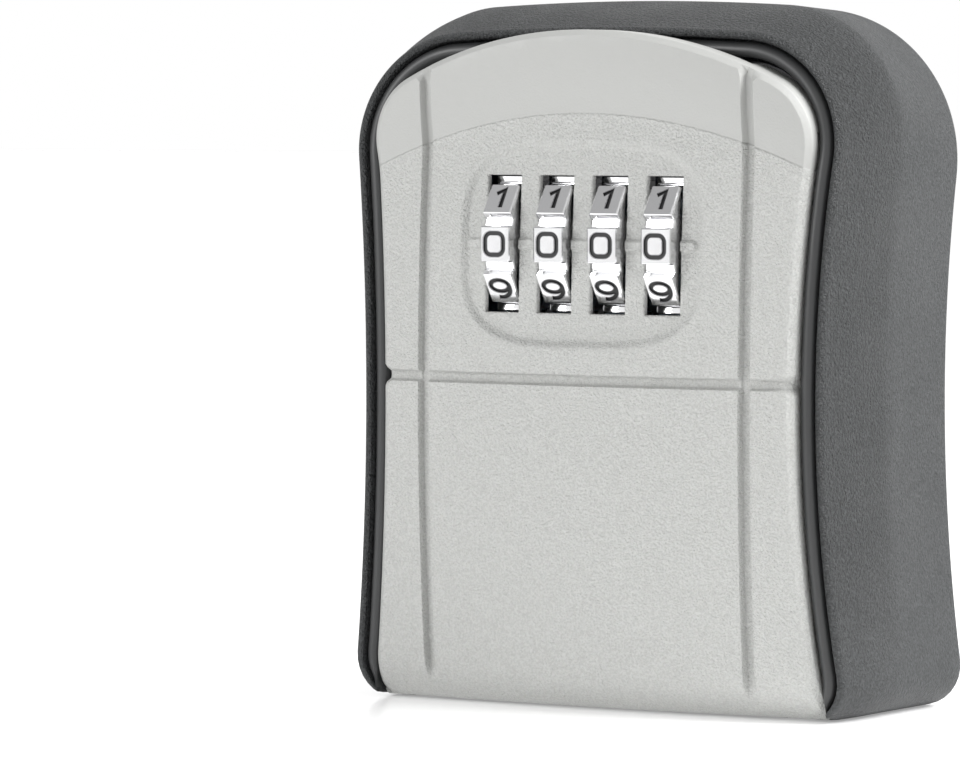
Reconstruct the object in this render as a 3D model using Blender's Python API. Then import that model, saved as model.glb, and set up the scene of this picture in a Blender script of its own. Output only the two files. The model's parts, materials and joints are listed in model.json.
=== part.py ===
"""Wall-mounted key lock box with a drop-down door and a four-wheel number lock.

The box stands on its lower edge with its back towards +Y. X runs to the right seen from the
front, Z runs up, and the origin is under the middle of the whole object. Depths are measured
forwards from the flat back, so a point's Y is BACK_Y minus its depth.
"""

import math

import bmesh
import bpy
from mathutils import Matrix, Vector

MM = 0.001

# Driving dimensions of the whole box
WIDTH = 96 * MM
HEIGHT = 112 * MM
DEPTH = 41.5 * MM
BACK_Y = DEPTH / 2
GAP = 0.3 * MM

# Outline shared by the housing, its rim and the door
TOP_RADIUS = 440 * MM
SHOULDER = 23 * MM
REAR_SHOULDER = 24 * MM
HEEL = 6.5 * MM
WAIST_HALF = 45.4 * MM
WAIST_Z = 50 * MM
SIDE_RADIUS = 317.6 * MM
BOW_RADIUS = 444 * MM
BACK_WALL = 3 * MM
BOTTOM_WALL = 2.6 * MM

# Rim of the housing, as insets from the outer outline and depths below the ridge
RIDGE_DEPTH = 36.5 * MM
RIDGE_INSET = 6 * MM
RIDGE_LIFT = 0.8 * MM
REAR_DROP = 0.6 * MM
CHANNEL_INSET = 6.5 * MM
CHANNEL_DROP = 2.6 * MM
LIP_INSET = 9.2 * MM
LIP_DEPTH = 29.5 * MM
CAVITY_INSET = 11.6 * MM
CREASE_DEPTH = 18 * MM
CREASE_INSET = 2.1 * MM

# Door
DOOR_INSET = 9.35 * MM
DOOR_TOP = 107.3 * MM
DOOR_BOTTOM = 0.4 * MM
DOOR_TOP_RADIUS = 72 * MM
DOOR_CORNER = 11 * MM
DOOR_BACK = 30.7 * MM
LIP_OVERHANG_DEPTH = 34.15 * MM
DOOR_FRONT = 40.4 * MM
DOOR_WALL = 2.2 * MM
DOOR_CROWN_RADIUS = 286 * MM
CHIN_HEIGHT = 8 * MM
CHIN_ROLL = 4.4 * MM
FLARE_RISE = 3.5 * MM
FLARE_LENGTH = 17 * MM
FLARE_Z = 94.1 * MM
FLARE_ARC = 83 * MM
FLARE_FADE = 0.7
GROOVE_X = 28.2 * MM
GROOVE_Z = 52.5 * MM
GROOVE_WIDTH = 2 * MM
GROOVE_CUT = 1 * MM
FLANGE_BACK = 26.4 * MM
FLANGE_HALF = 32 * MM
FLANGE_TOP = 96.5 * MM
FLANGE_BOTTOM = 50 * MM

# Number wheels and their shaft
WHEEL_Z = 73.7 * MM
WHEEL_PITCH = 9.4 * MM
WHEEL_WIDTH = 4.8 * MM
WHEEL_FACE = 12.1 * MM
WHEEL_COUNT = 4
DIGITS = 10
WHEEL_DEPTH = DEPTH - WHEEL_FACE
WINDOW_WIDTH = 6 * MM
WINDOW_HEIGHT = 21.6 * MM
SHAFT_RADIUS = 1.9 * MM
SLEEVE_RADIUS = 3.7 * MM
SLEEVE_FLANGE = 6 * MM
SLEEVE_OFFSET = 3.6 * MM
RECESS_HALF = (21.6 * MM, 16.3 * MM)
RECESS_CUT = 0.9 * MM
RELIEF_HALF = 17.8 * MM
RELIEF_RISE = 12.6 * MM
RELIEF_WALL = 1.3 * MM

# Lock case on the inside of the door
CASE_FRONT = 26.1 * MM
CASE_DECK = 15.2 * MM
CASE_TOP_DECK = 11.4 * MM
CASE_HALF = 30 * MM
CASE_TOP_HALF = 21.2 * MM
CASE_Z = (56 * MM, 95 * MM)
CASE_WALL = 1.7 * MM
CASE_ROOM_HALF = 19 * MM

# Latch bolt and what moves with it
BOLT_DEPTH = 18.2 * MM
BOLT_WIDTH = 16.4 * MM
BOLT_THICK = 6 * MM
BOLT_Z = (86.8 * MM, 95.2 * MM)

# Door hinge
HINGE_DEPTH = 21.2 * MM
HINGE_Z = 5.5 * MM
HINGE_PIN_RADIUS = 1.5 * MM
ARM_X = (31 * MM, 35.3 * MM)
ARM_END = 3 * MM
FRONT_SILL = 28 * MM

# Mounting holes through the back wall
HOLE_CENTRE_Z = 57 * MM
HOLE_REACH = 25 * MM
HOLE_RADIUS = 3.5 * MM

OUTLINE_STEPS = (3, 5, 9, 8, 5)


def at(x, depth, z):
    """World point from X, depth in front of the back plane, and Z."""
    return Vector((x, BACK_Y - depth, z))


def make_material(name, colour, roughness, metallic=0.0):
    material = bpy.data.materials.new(name)
    material.use_nodes = True
    shader = material.node_tree.nodes["Principled BSDF"]
    shader.inputs["Base Color"].default_value = (*colour, 1)
    shader.inputs["Roughness"].default_value = roughness
    shader.inputs["Metallic"].default_value = metallic
    return material


def make_object(name, bm, material, smooth=30):
    """Turn a bmesh into a named object whose faces point outwards."""
    bmesh.ops.remove_doubles(bm, verts=bm.verts, dist=1e-7)
    bmesh.ops.recalc_face_normals(bm, faces=bm.faces)
    mesh = bpy.data.meshes.new(name)
    bm.to_mesh(mesh)
    bm.free()
    mesh.shade_smooth()
    mesh.set_sharp_from_angle(angle=math.radians(smooth))
    item = bpy.data.objects.new(name, mesh)
    bpy.context.scene.collection.objects.link(item)
    if material:
        mesh.materials.append(material)
    return item


def move_origin(item, point):
    """Put an object's origin on a point without moving its mesh in the world."""
    item.data.transform(Matrix.Translation(-point))
    item.location = point


def combine(item, tool, operation):
    """Boolean a hidden tool object into an item."""
    modifier = item.modifiers.new(tool.name, "BOOLEAN")
    modifier.operation = operation
    modifier.solver = "EXACT"
    modifier.object = tool
    tool.hide_render = True
    tool.display_type = "WIRE"


def cut(item, tool):
    combine(item, tool, "DIFFERENCE")


def join(item, tool):
    combine(item, tool, "UNION")


def loft_into(bm, rings):
    """Skin closed rings of points, in order, and close both ends."""
    loops = [[bm.verts.new(point) for point in ring] for ring in rings]
    count = len(loops[0])
    for near, far in zip(loops, loops[1:]):
        for i in range(count):
            j = (i + 1) % count
            bm.faces.new((near[i], near[j], far[j], far[i]))
    bm.faces.new(loops[0])
    bm.faces.new(loops[-1])


def loft(name, rings, material=None, smooth=30):
    bm = bmesh.new()
    loft_into(bm, rings)
    return make_object(name, bm, material, smooth)


def box_rings(low, high):
    """Two rings of a box given by (x, depth, z) corners."""
    corners = ((low[0], low[1]), (high[0], low[1]), (high[0], high[1]), (low[0], high[1]))
    return [[at(x, depth, z) for x, depth in corners] for z in (low[2], high[2])]


def box(name, low, high, material=None):
    return loft(name, box_rings(low, high), material)


def turned_x(name, profile, centre, material=None, sides=24):
    """Turn a profile of (x, radius) pairs about the X line through a centre."""
    rings = []
    for x, radius in profile:
        ring = []
        for i in range(sides):
            angle = 2 * math.pi * i / sides
            offset = Vector((0, -math.cos(angle), math.sin(angle))) * radius
            ring.append(centre + Vector((x, 0, 0)) + offset)
        rings.append(ring)
    return loft(name, rings, material)


def turned_y(name, profile, x, z, material=None, sides=24):
    """Turn a profile of (depth, radius) pairs about the Y line through (x, z)."""
    rings = []
    for depth, radius in profile:
        angles = [2 * math.pi * i / sides for i in range(sides)]
        rings.append([at(x + radius * math.cos(a), depth, z + radius * math.sin(a)) for a in angles])
    return loft(name, rings, material)


def arc(centre, radius, start, end, steps):
    """Points on an arc, both ends included, with angles in radians."""
    turns = [start + (end - start) * i / steps for i in range(steps + 1)]
    return [(centre[0] + radius * math.cos(a), centre[1] + radius * math.sin(a)) for a in turns]


def corner_centre(side, side_reach, top, top_reach):
    """Upper crossing of two circles: the centre of the arc that joins side and top."""
    gap = Vector(top) - Vector(side)
    span = gap.length
    along = (side_reach ** 2 - top_reach ** 2 + span ** 2) / (2 * span)
    across = math.sqrt(side_reach ** 2 - along ** 2)
    middle = Vector(side) + gap * (along / span)
    offset = Vector((gap.y, -gap.x)) * (across / span)
    return max(middle + offset, middle - offset, key=lambda point: point.y)


def outline(half, top, bottom, top_radius, corner, foot, inset=0.0):
    """Closed ring of (x, z): flat foot, waisted sides, round shoulders, arched top."""
    side = (WAIST_HALF + SIDE_RADIUS, WAIST_Z)
    side_radius = side[0] - half + inset
    arch = (0, top - top_radius)
    shoulder = max(corner - inset, 1 * MM)
    heel = max(foot - inset, 0.8 * MM)
    centre = corner_centre(side, side_radius + shoulder, arch, top_radius - inset - shoulder)
    heel_z = bottom + heel
    heel_x = side[0] - math.sqrt((side_radius + heel) ** 2 - (heel_z - side[1]) ** 2)
    to_side = math.atan2(side[1] - centre.y, side[0] - centre.x)
    to_arch = math.atan2(centre.y - arch[1], centre.x - arch[0])
    heel_turn = math.atan2(side[1] - heel_z, side[0] - heel_x)
    flat, foot_steps, side_steps, corner_steps, arch_steps = OUTLINE_STEPS
    half_ring = [(heel_x * i / flat, bottom) for i in range(flat)]
    half_ring += arc((heel_x, heel_z), heel, -math.pi / 2, heel_turn, foot_steps)
    half_ring += arc(side, side_radius, math.pi + heel_turn, math.pi + to_side, side_steps)[1:-1]
    half_ring += arc(centre, shoulder, to_side, to_arch, corner_steps)
    half_ring += arc(arch, top_radius - inset, to_arch, math.pi / 2, arch_steps)[1:]
    mirrored = [(-x, z) for x, z in reversed(half_ring[1:-1])]
    return half_ring + mirrored


def housing_outline(inset, foot_inset=None, lift=0.0, shoulder=SHOULDER):
    """Outer ring of the housing at an inset; the foot may rise by its own amount, and the top too."""
    rise = inset if foot_inset is None else foot_inset
    return outline(WAIST_HALF, HEIGHT + lift, rise, TOP_RADIUS, shoulder, HEEL + inset, inset)


def cavity_outline(inset, foot_inset):
    """Ring of the cavity, whose heels are tighter than those of the outside."""
    return outline(WAIST_HALF, HEIGHT, foot_inset, TOP_RADIUS, SHOULDER, HEEL, inset)


def bow(z):
    """How far the bowed front falls back from its foremost line."""
    return (z - WAIST_Z) ** 2 / (2 * BOW_RADIUS)


def ridge_depth(z):
    return RIDGE_DEPTH - bow(z)


def face_depth(x, z):
    """Depth of the door's front face: bowed, crowned, rolled under and flared at the top."""
    depth = DOOR_FRONT - bow(z) - x * x / (2 * DOOR_CROWN_RADIUS)
    if z < CHIN_HEIGHT:
        depth -= CHIN_ROLL * ((CHIN_HEIGHT - z) / CHIN_HEIGHT) ** 2
    crease = FLARE_Z - x * x / (2 * FLARE_ARC)
    if z > crease:
        rise = min((z - crease) / FLARE_LENGTH, 1)
        share = 1 - FLARE_FADE * (x / WAIST_HALF) ** 2
        depth += FLARE_RISE * share * rise * (2 - rise)
    return depth


def ring_at(points, depth):
    """Ring in space from an outline and a depth, which may be a function of Z."""
    if callable(depth):
        return [at(x, depth(z), z) for x, z in points]
    return [at(x, depth, z) for x, z in points]


def spots():
    """The four mounting holes as (name, x, z)."""
    return (
        ("top", 0, HOLE_CENTRE_Z + HOLE_REACH),
        ("left", -HOLE_REACH, HOLE_CENTRE_Z),
        ("right", HOLE_REACH, HOLE_CENTRE_Z),
        ("bottom", 0, HOLE_CENTRE_Z - HOLE_REACH),
    )


def wheel_x(index):
    return (index - (WHEEL_COUNT - 1) / 2) * WHEEL_PITCH


def rim_ring(inset, drop):
    """Ring on the rim at an inset, so far below the ridge line."""
    return ring_at(housing_outline(inset, 0, RIDGE_LIFT), lambda z: ridge_depth(z) - drop)


def build_housing(material):
    edge = 1 * MM
    rings = [
        ring_at(housing_outline(edge, lift=-REAR_DROP, shoulder=REAR_SHOULDER), 0),
        ring_at(housing_outline(0, lift=-REAR_DROP, shoulder=REAR_SHOULDER), edge),
        ring_at(housing_outline(CREASE_INSET, 0, CREASE_INSET), CREASE_DEPTH),
        rim_ring(RIDGE_INSET - edge, 1.2 * edge),
        rim_ring(RIDGE_INSET - 0.5 * edge, 0.2 * edge),
        rim_ring(RIDGE_INSET, 0),
        rim_ring(CHANNEL_INSET, 0.8 * edge),
        rim_ring(CHANNEL_INSET, CHANNEL_DROP),
        rim_ring(LIP_INSET, CHANNEL_DROP),
        ring_at(housing_outline(LIP_INSET, 0, RIDGE_LIFT), LIP_DEPTH),
        ring_at(cavity_outline(CAVITY_INSET, BOTTOM_WALL), LIP_DEPTH),
        ring_at(cavity_outline(CAVITY_INSET + edge, BOTTOM_WALL), BACK_WALL),
    ]
    housing = loft("rear_housing", rings, material)
    cut(housing, front_opening_tool())
    for side in (-1, 1):
        cut(housing, arm_notch_tool(side))
        cut(housing, pin_hole_tool(side))
    for name, x, z in spots():
        span = ((-1 * MM, HOLE_RADIUS), (BACK_WALL + 1 * MM, HOLE_RADIUS))
        cut(housing, turned_y("hole_tool_" + name, span, x, z, sides=20))
    return housing


def front_opening_tool():
    """Opens the foot of the rim, where the door's chin stands in its place."""
    reach = 39.9 * MM
    top = 9 * MM
    return box("front_opening_tool", (-reach, FRONT_SILL, -2 * MM), (reach, DEPTH, top))


def arm_notch_tool(side):
    """Clears the floor of the housing under a door arm."""
    inner, outer = ARM_X[0] - GAP, ARM_X[1] + 0.4 * MM
    low = min(side * inner, side * outer)
    high = max(side * inner, side * outer)
    back = HINGE_DEPTH - ARM_END - 0.5 * MM
    return box("arm_notch_tool_%d" % side, (low, back, -1 * MM), (high, FRONT_SILL + 1 * MM, 5 * MM))


def pin_hole_tool(side):
    centre = at(0, HINGE_DEPTH, HINGE_Z)
    ends = ((side * 36 * MM, HINGE_PIN_RADIUS + GAP), (side * 43 * MM, HINGE_PIN_RADIUS + GAP))
    return turned_x("pin_hole_tool_%d" % side, ends, centre, sides=16)


def side_half(inset, z):
    """Half width of the waisted side at a height."""
    centre = WAIST_HALF + SIDE_RADIUS
    return centre - math.sqrt((SIDE_RADIUS + inset) ** 2 - (z - WAIST_Z) ** 2)


def rim_path(inset, lowest):
    """Open path of the rim, from the left foot over the top to the right foot."""
    points = [point for point in housing_outline(inset, 0, RIDGE_LIFT) if point[1] > lowest]
    right = [point for point in points if point[0] > 0]
    centre = [point for point in points if abs(point[0]) < 1e-9]
    left = [point for point in points if point[0] < 0]
    foot = side_half(inset, lowest)
    return [(foot, lowest)] + right + centre + left + [(-foot, lowest)]


def build_strip(name, sections, lowest, material):
    """Strip of rubber laid round the rim: one (inset, depth) pair per corner of its section."""
    paths = [rim_path(inset, lowest) for inset, _ in sections]
    rings = []
    for i in range(len(paths[0])):
        ring = []
        for path, (_, depth) in zip(paths, sections):
            x, z = path[i]
            ring.append(at(x, depth(z), z))
        rings.append(ring)
    return loft(name, rings, material, 50)


def build_rim_seal(material):
    inner = LIP_INSET - 0.1 * MM
    outer = CHANNEL_INSET + GAP
    middle = (inner + outer) / 2
    reach = (inner - outer) / 2
    base = CHANNEL_DROP - GAP

    def below(drop):
        return lambda z: ridge_depth(z) - drop

    sections = [(outer, below(base)), (outer, below(1.4 * MM))]
    for turn in (30, 60, 90, 120, 150):
        angle = math.radians(turn)
        inset = middle - reach * math.cos(angle)
        sections.append((inset, below(1.4 * MM - 1.2 * MM * math.sin(angle))))
    sections += [(inner, below(1.4 * MM)), (inner, below(base))]
    return build_strip("rim_seal", sections, HEEL, material)


def build_door_gasket(material):
    floor = LIP_DEPTH + GAP
    top = DOOR_BACK - GAP
    sections = [
        (LIP_INSET + 0.4 * MM, lambda z: floor),
        (LIP_INSET + 0.5 * MM, lambda z: top),
        (CAVITY_INSET - 0.6 * MM, lambda z: top),
        (CAVITY_INSET - 0.4 * MM, lambda z: floor),
    ]
    return build_strip("door_gasket", sections, 9.6 * MM, material)


def build_strike(material):
    """Keeper under the ceiling of the cavity, in front of the latch bolt."""
    ceiling = HEIGHT - CAVITY_INSET - 0.9 * MM
    reach = 10.5 * MM
    near, far = 21.9 * MM, 24.4 * MM
    low = 96.9 * MM
    strike = box("strike_plate", (-reach, near, low), (reach, far, ceiling), material)
    return strike


def build_plug(name, x, z, material):
    """Rubber plug that closes a mounting hole from the inside."""
    stem = HOLE_RADIUS - GAP
    cap = 4.6 * MM
    face = BACK_WALL + GAP
    profile = (
        (0.4 * MM, stem - 0.4 * MM),
        (0.8 * MM, stem),
        (face, stem),
        (face, cap),
        (face + 0.7 * MM, cap),
        (face + 1 * MM, cap - 0.4 * MM),
    )
    return turned_y("hole_plug_" + name, profile, x, z, material)


def build_hinge_pin(name, side, material):
    centre = at(0, HINGE_DEPTH, HINGE_Z)
    tip = HINGE_PIN_RADIUS - 0.4 * MM
    profile = (
        (side * 30.6 * MM, tip),
        (side * 31 * MM, HINGE_PIN_RADIUS),
        (side * 42.3 * MM, HINGE_PIN_RADIUS),
        (side * 42.7 * MM, tip),
    )
    return turned_x(name, profile, centre, material, 16)


def door_outline(inset=0.0):
    half = WAIST_HALF
    return outline(half, DOOR_TOP + DOOR_INSET, DOOR_BOTTOM + inset, DOOR_TOP_RADIUS + DOOR_INSET,
                   DOOR_CORNER + DOOR_INSET, 2 * MM + DOOR_INSET, DOOR_INSET + inset)


def face_slab(name, x_lines, z_lines, back, offset, material=None):
    """Block whose front follows the door's face, set back by an offset."""
    bm = bmesh.new()

    def front_point(x, z):
        return at(x, max(face_depth(x, z) - offset, back + 0.2 * MM), z)

    front = [[bm.verts.new(front_point(x, z)) for x in x_lines] for z in z_lines]
    rear = [[bm.verts.new(at(x, back, z)) for x in x_lines] for z in z_lines]
    rows, columns = len(z_lines), len(x_lines)
    for grid in (front, rear):
        for i in range(rows - 1):
            for j in range(columns - 1):
                bm.faces.new((grid[i][j], grid[i][j + 1], grid[i + 1][j + 1], grid[i + 1][j]))
    for i in range(rows - 1):
        for j in (0, columns - 1):
            bm.faces.new((front[i][j], front[i + 1][j], rear[i + 1][j], rear[i][j]))
    for j in range(columns - 1):
        for i in (0, rows - 1):
            bm.faces.new((front[i][j], front[i][j + 1], rear[i][j + 1], rear[i][j]))
    return make_object(name, bm, material)


def spread(low, high, count):
    return [low + (high - low) * i / (count - 1) for i in range(count)]


def door_z_lines(low, high):
    """Heights that follow the chin, the bow and the flare of the door."""
    chin = [low, 1.5 * MM, 3 * MM, 5 * MM, CHIN_HEIGHT]
    body = spread(18 * MM, 82 * MM, 6)
    flare = spread(85 * MM, high, 8)
    return [z for z in chin + body + flare if low <= z <= high]


def build_door(material):
    reach = 42 * MM
    door = face_slab("door_panel", spread(-reach, reach, 13), door_z_lines(-1 * MM, 110 * MM),
                     DOOR_BACK, 0, material)
    ring = door_outline()
    keep = loft("door_outline_tool", [ring_at(ring, 20 * MM), ring_at(ring, 50 * MM)])
    combine(door, keep, "INTERSECT")
    cut(door, overhang_tool())
    for x in (-GROOVE_X, GROOVE_X):
        cut(door, groove_tool_upright(x))
    cut(door, groove_tool_level())
    cut(door, recess_tool())
    cut(door, pocket_tool("lock_pocket_tool", 29.5 * MM, FLANGE_BOTTOM + 2.5 * MM, FLANGE_TOP - 2.5 * MM))
    cut(door, pocket_tool("lower_pocket_tool", 31.5 * MM, 6 * MM, 46.5 * MM))
    cut(door, face_slab("wheel_relief_tool", spread(-RELIEF_HALF, RELIEF_HALF, 5),
                        spread(WHEEL_Z - RELIEF_RISE, WHEEL_Z + RELIEF_RISE, 5),
                        DOOR_BACK, RECESS_CUT + RELIEF_WALL))
    for index in range(WHEEL_COUNT):
        cut(door, window_tool(index))
    join(door, flange_tool())
    for side in (-1, 1):
        join(door, arm_tool(side))
        join(door, boss_tool("screw_boss", side * 21.7 * MM, 90 * MM, 3.2 * MM, 35.6 * MM))
        cut(door, boss_tool("screw_hole", side * 21.7 * MM, 90 * MM, 1.7 * MM, 33 * MM))
        cut(door, boss_tool("ear_hole", side * 32.3 * MM, 80 * MM, 1.3 * MM, 33.5 * MM))
        cut(door, arm_bore_tool(side))
    return door


def tube(name, outer, inner, near, far):
    """Straight tube along Y between two depths, from two rings of (x, z)."""
    bm = bmesh.new()
    loops = []
    for points, depth in ((outer, near), (outer, far), (inner, far), (inner, near)):
        loops.append([bm.verts.new(at(x, depth, z)) for x, z in points])
    count = len(outer)
    for k in range(4):
        near_loop, far_loop = loops[k], loops[(k + 1) % 4]
        for i in range(count):
            j = (i + 1) % count
            bm.faces.new((near_loop[i], near_loop[j], far_loop[j], far_loop[i]))
    return make_object(name, bm, None)


def overhang_tool():
    """Trims the back of the door to the rim, so that only its top lip stands over the rim."""
    inner = cavity_outline(DOOR_INSET + 0.1 * MM, -4 * MM)
    outer = cavity_outline(-4 * MM, -8 * MM)
    return tube("overhang_tool", outer, inner, 20 * MM, LIP_OVERHANG_DEPTH)


def groove_tool_upright(x):
    """Follows the face from just above the chin to past the top edge."""
    half = GROOVE_WIDTH / 2
    rings = []
    for z in [3.6 * MM] + spread(10 * MM, 84 * MM, 7) + spread(88 * MM, 112 * MM, 7):
        depth = face_depth(x, z)
        low = depth - GROOVE_CUT
        rings.append([at(x - 0.8 * half, low, z), at(x + 0.8 * half, low, z),
                      at(x + half, depth + 3 * MM, z), at(x - half, depth + 3 * MM, z)])
    return loft("groove_tool_%s" % ("left" if x < 0 else "right"), rings)


def groove_tool_level():
    half = 0.9 * GROOVE_WIDTH / 2
    rings = []
    for x in spread(-42 * MM, 42 * MM, 13):
        depth = face_depth(x, GROOVE_Z)
        low = depth - GROOVE_CUT
        rings.append([at(x, low, GROOVE_Z - 0.8 * half), at(x, low, GROOVE_Z + 0.8 * half),
                      at(x, depth + 3 * MM, GROOVE_Z + half), at(x, depth + 3 * MM, GROOVE_Z - half)])
    return loft("groove_tool_level", rings)


def soft_oval(half_x, half_z, steps=40):
    """Superellipse outline round the number windows."""
    power = 2 / 3.4
    ring = []
    for i in range(steps):
        angle = 2 * math.pi * i / steps
        c, s = math.cos(angle), math.sin(angle)
        across = half_x * math.copysign(abs(c) ** power, c)
        up = half_z * math.copysign(abs(s) ** power, s)
        ring.append((across, WHEEL_Z + up))
    return ring


def recess_tool():
    """Shallow dished panel round the windows, following the face."""
    soft = 0.8 * MM
    half_x, half_z = RECESS_HALF
    brim = soft_oval(half_x, half_z)
    floor = soft_oval(half_x - soft, half_z - soft)
    rings = [
        [at(x, face_depth(x, z) - RECESS_CUT, z) for x, z in floor],
        [at(x, face_depth(x, z), z) for x, z in brim],
        [at(x, DEPTH + 4 * MM, z) for x, z in brim],
    ]
    return loft("recess_tool", rings)


def pocket_tool(name, half, low, high):
    """Hollows the door behind its face."""
    z_lines = [low] + [z for z in spread(10 * MM, 90 * MM, 9) if low < z < high] + [high]
    return face_slab(name, spread(-half, half, 7), z_lines, DOOR_BACK - 8 * MM, DOOR_WALL + RECESS_CUT)


def window_tool(index):
    x = wheel_x(index)
    half, rise = WINDOW_WIDTH / 2, WINDOW_HEIGHT / 2
    low = (x - half, 30 * MM, WHEEL_Z - rise)
    high = (x + half, 50 * MM, WHEEL_Z + rise)
    return box("window_tool_%d" % index, low, high)


def flange_tool():
    """Rectangular flange that the lock case seats on."""
    wall = 2.2 * MM
    outer = rectangle(FLANGE_HALF, FLANGE_BOTTOM, FLANGE_TOP)
    inner = rectangle(FLANGE_HALF - wall, FLANGE_BOTTOM + wall, FLANGE_TOP - wall)
    return tube("flange_tool", outer, inner, FLANGE_BACK, DOOR_BACK + 1 * MM)


def rectangle(half, low, high):
    return [(-half, low), (half, low), (half, high), (-half, high)]


def arm_tool(side):
    """Hinge arm: a plate with a round end about the pin."""
    centre = (HINGE_DEPTH, HINGE_Z)
    outline_points = arc(centre, ARM_END, math.radians(115), math.radians(270), 8)
    root = DOOR_BACK + 0.6 * MM
    outline_points += [(root, 2.5 * MM), (root, 17 * MM), (28.5 * MM, 15 * MM)]
    rings = [[at(side * x, depth, z) for depth, z in outline_points] for x in ARM_X]
    return loft("arm_tool_%d" % side, rings)


def arm_bore_tool(side):
    centre = at(0, HINGE_DEPTH, HINGE_Z)
    bore = HINGE_PIN_RADIUS + GAP
    ends = ((side * (ARM_X[0] - 1 * MM), bore), (side * (ARM_X[1] + 1 * MM), bore))
    return turned_x("arm_bore_tool_%d" % side, ends, centre, sides=16)


def boss_tool(kind, x, z, radius, depth):
    start = FLANGE_BACK + (0.2 * MM if kind == "screw_boss" else -1 * MM)
    name = "%s_%d" % (kind, 1 if x > 0 else -1)
    return turned_y(name, ((start, radius), (depth, radius)), x, z, sides=16)


def build_case(material):
    low, high = CASE_Z
    case = box("lock_case", (-CASE_HALF, CASE_DECK, low), (CASE_HALF, CASE_FRONT, high), material)
    join(case, box("case_deck_tool", (-CASE_TOP_HALF, CASE_TOP_DECK, low + 1 * MM),
                   (CASE_TOP_HALF, CASE_DECK + 1 * MM, high - 1.2 * MM)))
    for side in (-1, 1):
        join(case, case_cheek_tool(side))
        join(case, case_ear_tool(side))
    cut(case, box("case_room_tool", (-CASE_ROOM_HALF, CASE_TOP_DECK + CASE_WALL, low + 2.6 * MM),
                  (CASE_ROOM_HALF, 36 * MM, high - 2.8 * MM)))
    for side in (-1, 1):
        cut(case, case_wing_tool(side))
        cut(case, case_corner_tool(side))
        cut(case, turned_y("case_screw_hole_%d" % side, ((20 * MM, 1.7 * MM), (30 * MM, 1.7 * MM)),
                           side * 21.7 * MM, 90 * MM, sides=16))
        cut(case, turned_y("case_ear_hole_%d" % side, ((20 * MM, 1.4 * MM), (30 * MM, 1.4 * MM)),
                           side * 32.3 * MM, 80 * MM, sides=16))
    bolt_half = BOLT_WIDTH / 2 + 0.4 * MM
    bolt_deep = BOLT_THICK / 2 + 0.35 * MM
    cut(case, box("latch_window_tool", (-bolt_half, BOLT_DEPTH - bolt_deep, high - 6 * MM),
                  (bolt_half, BOLT_DEPTH + bolt_deep, high + 1 * MM)))
    cut(case, turned_x("shaft_hole_tool", ((-22 * MM, SHAFT_RADIUS + GAP), (22 * MM, SHAFT_RADIUS + GAP)),
                       at(0, WHEEL_DEPTH, WHEEL_Z), sides=20))
    cut(case, box("lever_slot_tool", (22.2 * MM, CASE_DECK - 1 * MM, 75.7 * MM),
                  (27.2 * MM, CASE_DECK + 3 * MM, 78.3 * MM)))
    join(case, box("spring_seat_tool", (-1.7 * MM, CASE_TOP_DECK + 1 * MM, 76.6 * MM),
                   (1.7 * MM, 19.9 * MM, 78.2 * MM)))
    return case


def case_cheek_tool(side):
    """Cheek that carries one end of the shaft, reaching forwards into the door."""
    inner, outer = CASE_ROOM_HALF + 0.1 * MM, 20.9 * MM
    low, high = sorted((side * inner, side * outer))
    return box("case_cheek_tool_%d" % side, (low, CASE_FRONT - 4 * MM, WHEEL_Z - 7 * MM),
               (high, WHEEL_DEPTH + 3.6 * MM, WHEEL_Z + 7 * MM))


def case_ear_tool(side):
    inner, outer = CASE_HALF - 1 * MM, 34.2 * MM
    low, high = sorted((side * inner, side * outer))
    return box("case_ear_tool_%d" % side, (low, 23.4 * MM, 76.6 * MM), (high, 26 * MM, 83.4 * MM))


def case_wing_tool(side):
    """Hollow of one wing of the case, open towards the door."""
    inner, outer = 21.5 * MM, CASE_HALF - CASE_WALL
    low, high = sorted((side * inner, side * outer))
    return box("case_wing_tool_%d" % side, (low, CASE_DECK + CASE_WALL, CASE_Z[0] + 1.8 * MM),
               (high, CASE_FRONT + 1 * MM, 84.5 * MM))


def case_corner_tool(side):
    """Corner recess of the deck, where a case screw sits."""
    inner, outer = 17.6 * MM, 28 * MM
    low, high = sorted((side * inner, side * outer))
    return box("case_corner_tool_%d" % side, (low, CASE_TOP_DECK - 1 * MM, 86.2 * MM),
               (high, 22.4 * MM, CASE_Z[1] + 1 * MM))


def build_pan_screw(name, x, z, seat, head, material):
    """Pan-head screw driven forwards into the door; head is (radius, height)."""
    radius, height = head
    shank = 1.35 * MM if radius > 2.5 * MM else 1 * MM
    top = seat - GAP
    profile = (
        (top - height, radius * 0.45),
        (top - height * 0.85, radius * 0.75),
        (top - height * 0.5, radius),
        (top, radius),
        (top, shank),
        (32.4 * MM, shank),
        (32.9 * MM, shank * 0.5),
    )
    screw = turned_y(name, profile, x, z, material, 20)
    for turn in (0, 90):
        cut(screw, cross_tool(name, turn, x, z, top - height, radius))
    return screw


def cross_tool(name, turn, x, z, crown, radius):
    long, wide = radius * 0.55, radius * 0.14
    reach_x, reach_z = (long, wide) if turn else (wide, long)
    return box("%s_cross_%d" % (name, turn), (x - reach_x, crown - 1 * MM, z - reach_z),
               (x + reach_x, crown + radius * 0.32, z + reach_z))


def build_shaft(material):
    centre = at(0, WHEEL_DEPTH, WHEEL_Z)
    neck = SHAFT_RADIUS - 0.6 * MM
    profile = (
        (-21.6 * MM, 3 * MM),
        (-21 * MM, 3 * MM),
        (-21 * MM, SHAFT_RADIUS),
        (21.3 * MM, SHAFT_RADIUS),
        (21.3 * MM, neck),
        (22.4 * MM, neck),
        (22.4 * MM, SHAFT_RADIUS),
        (23.2 * MM, SHAFT_RADIUS),
    )
    return turned_x("dial_shaft", profile, centre, material, 20)


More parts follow.
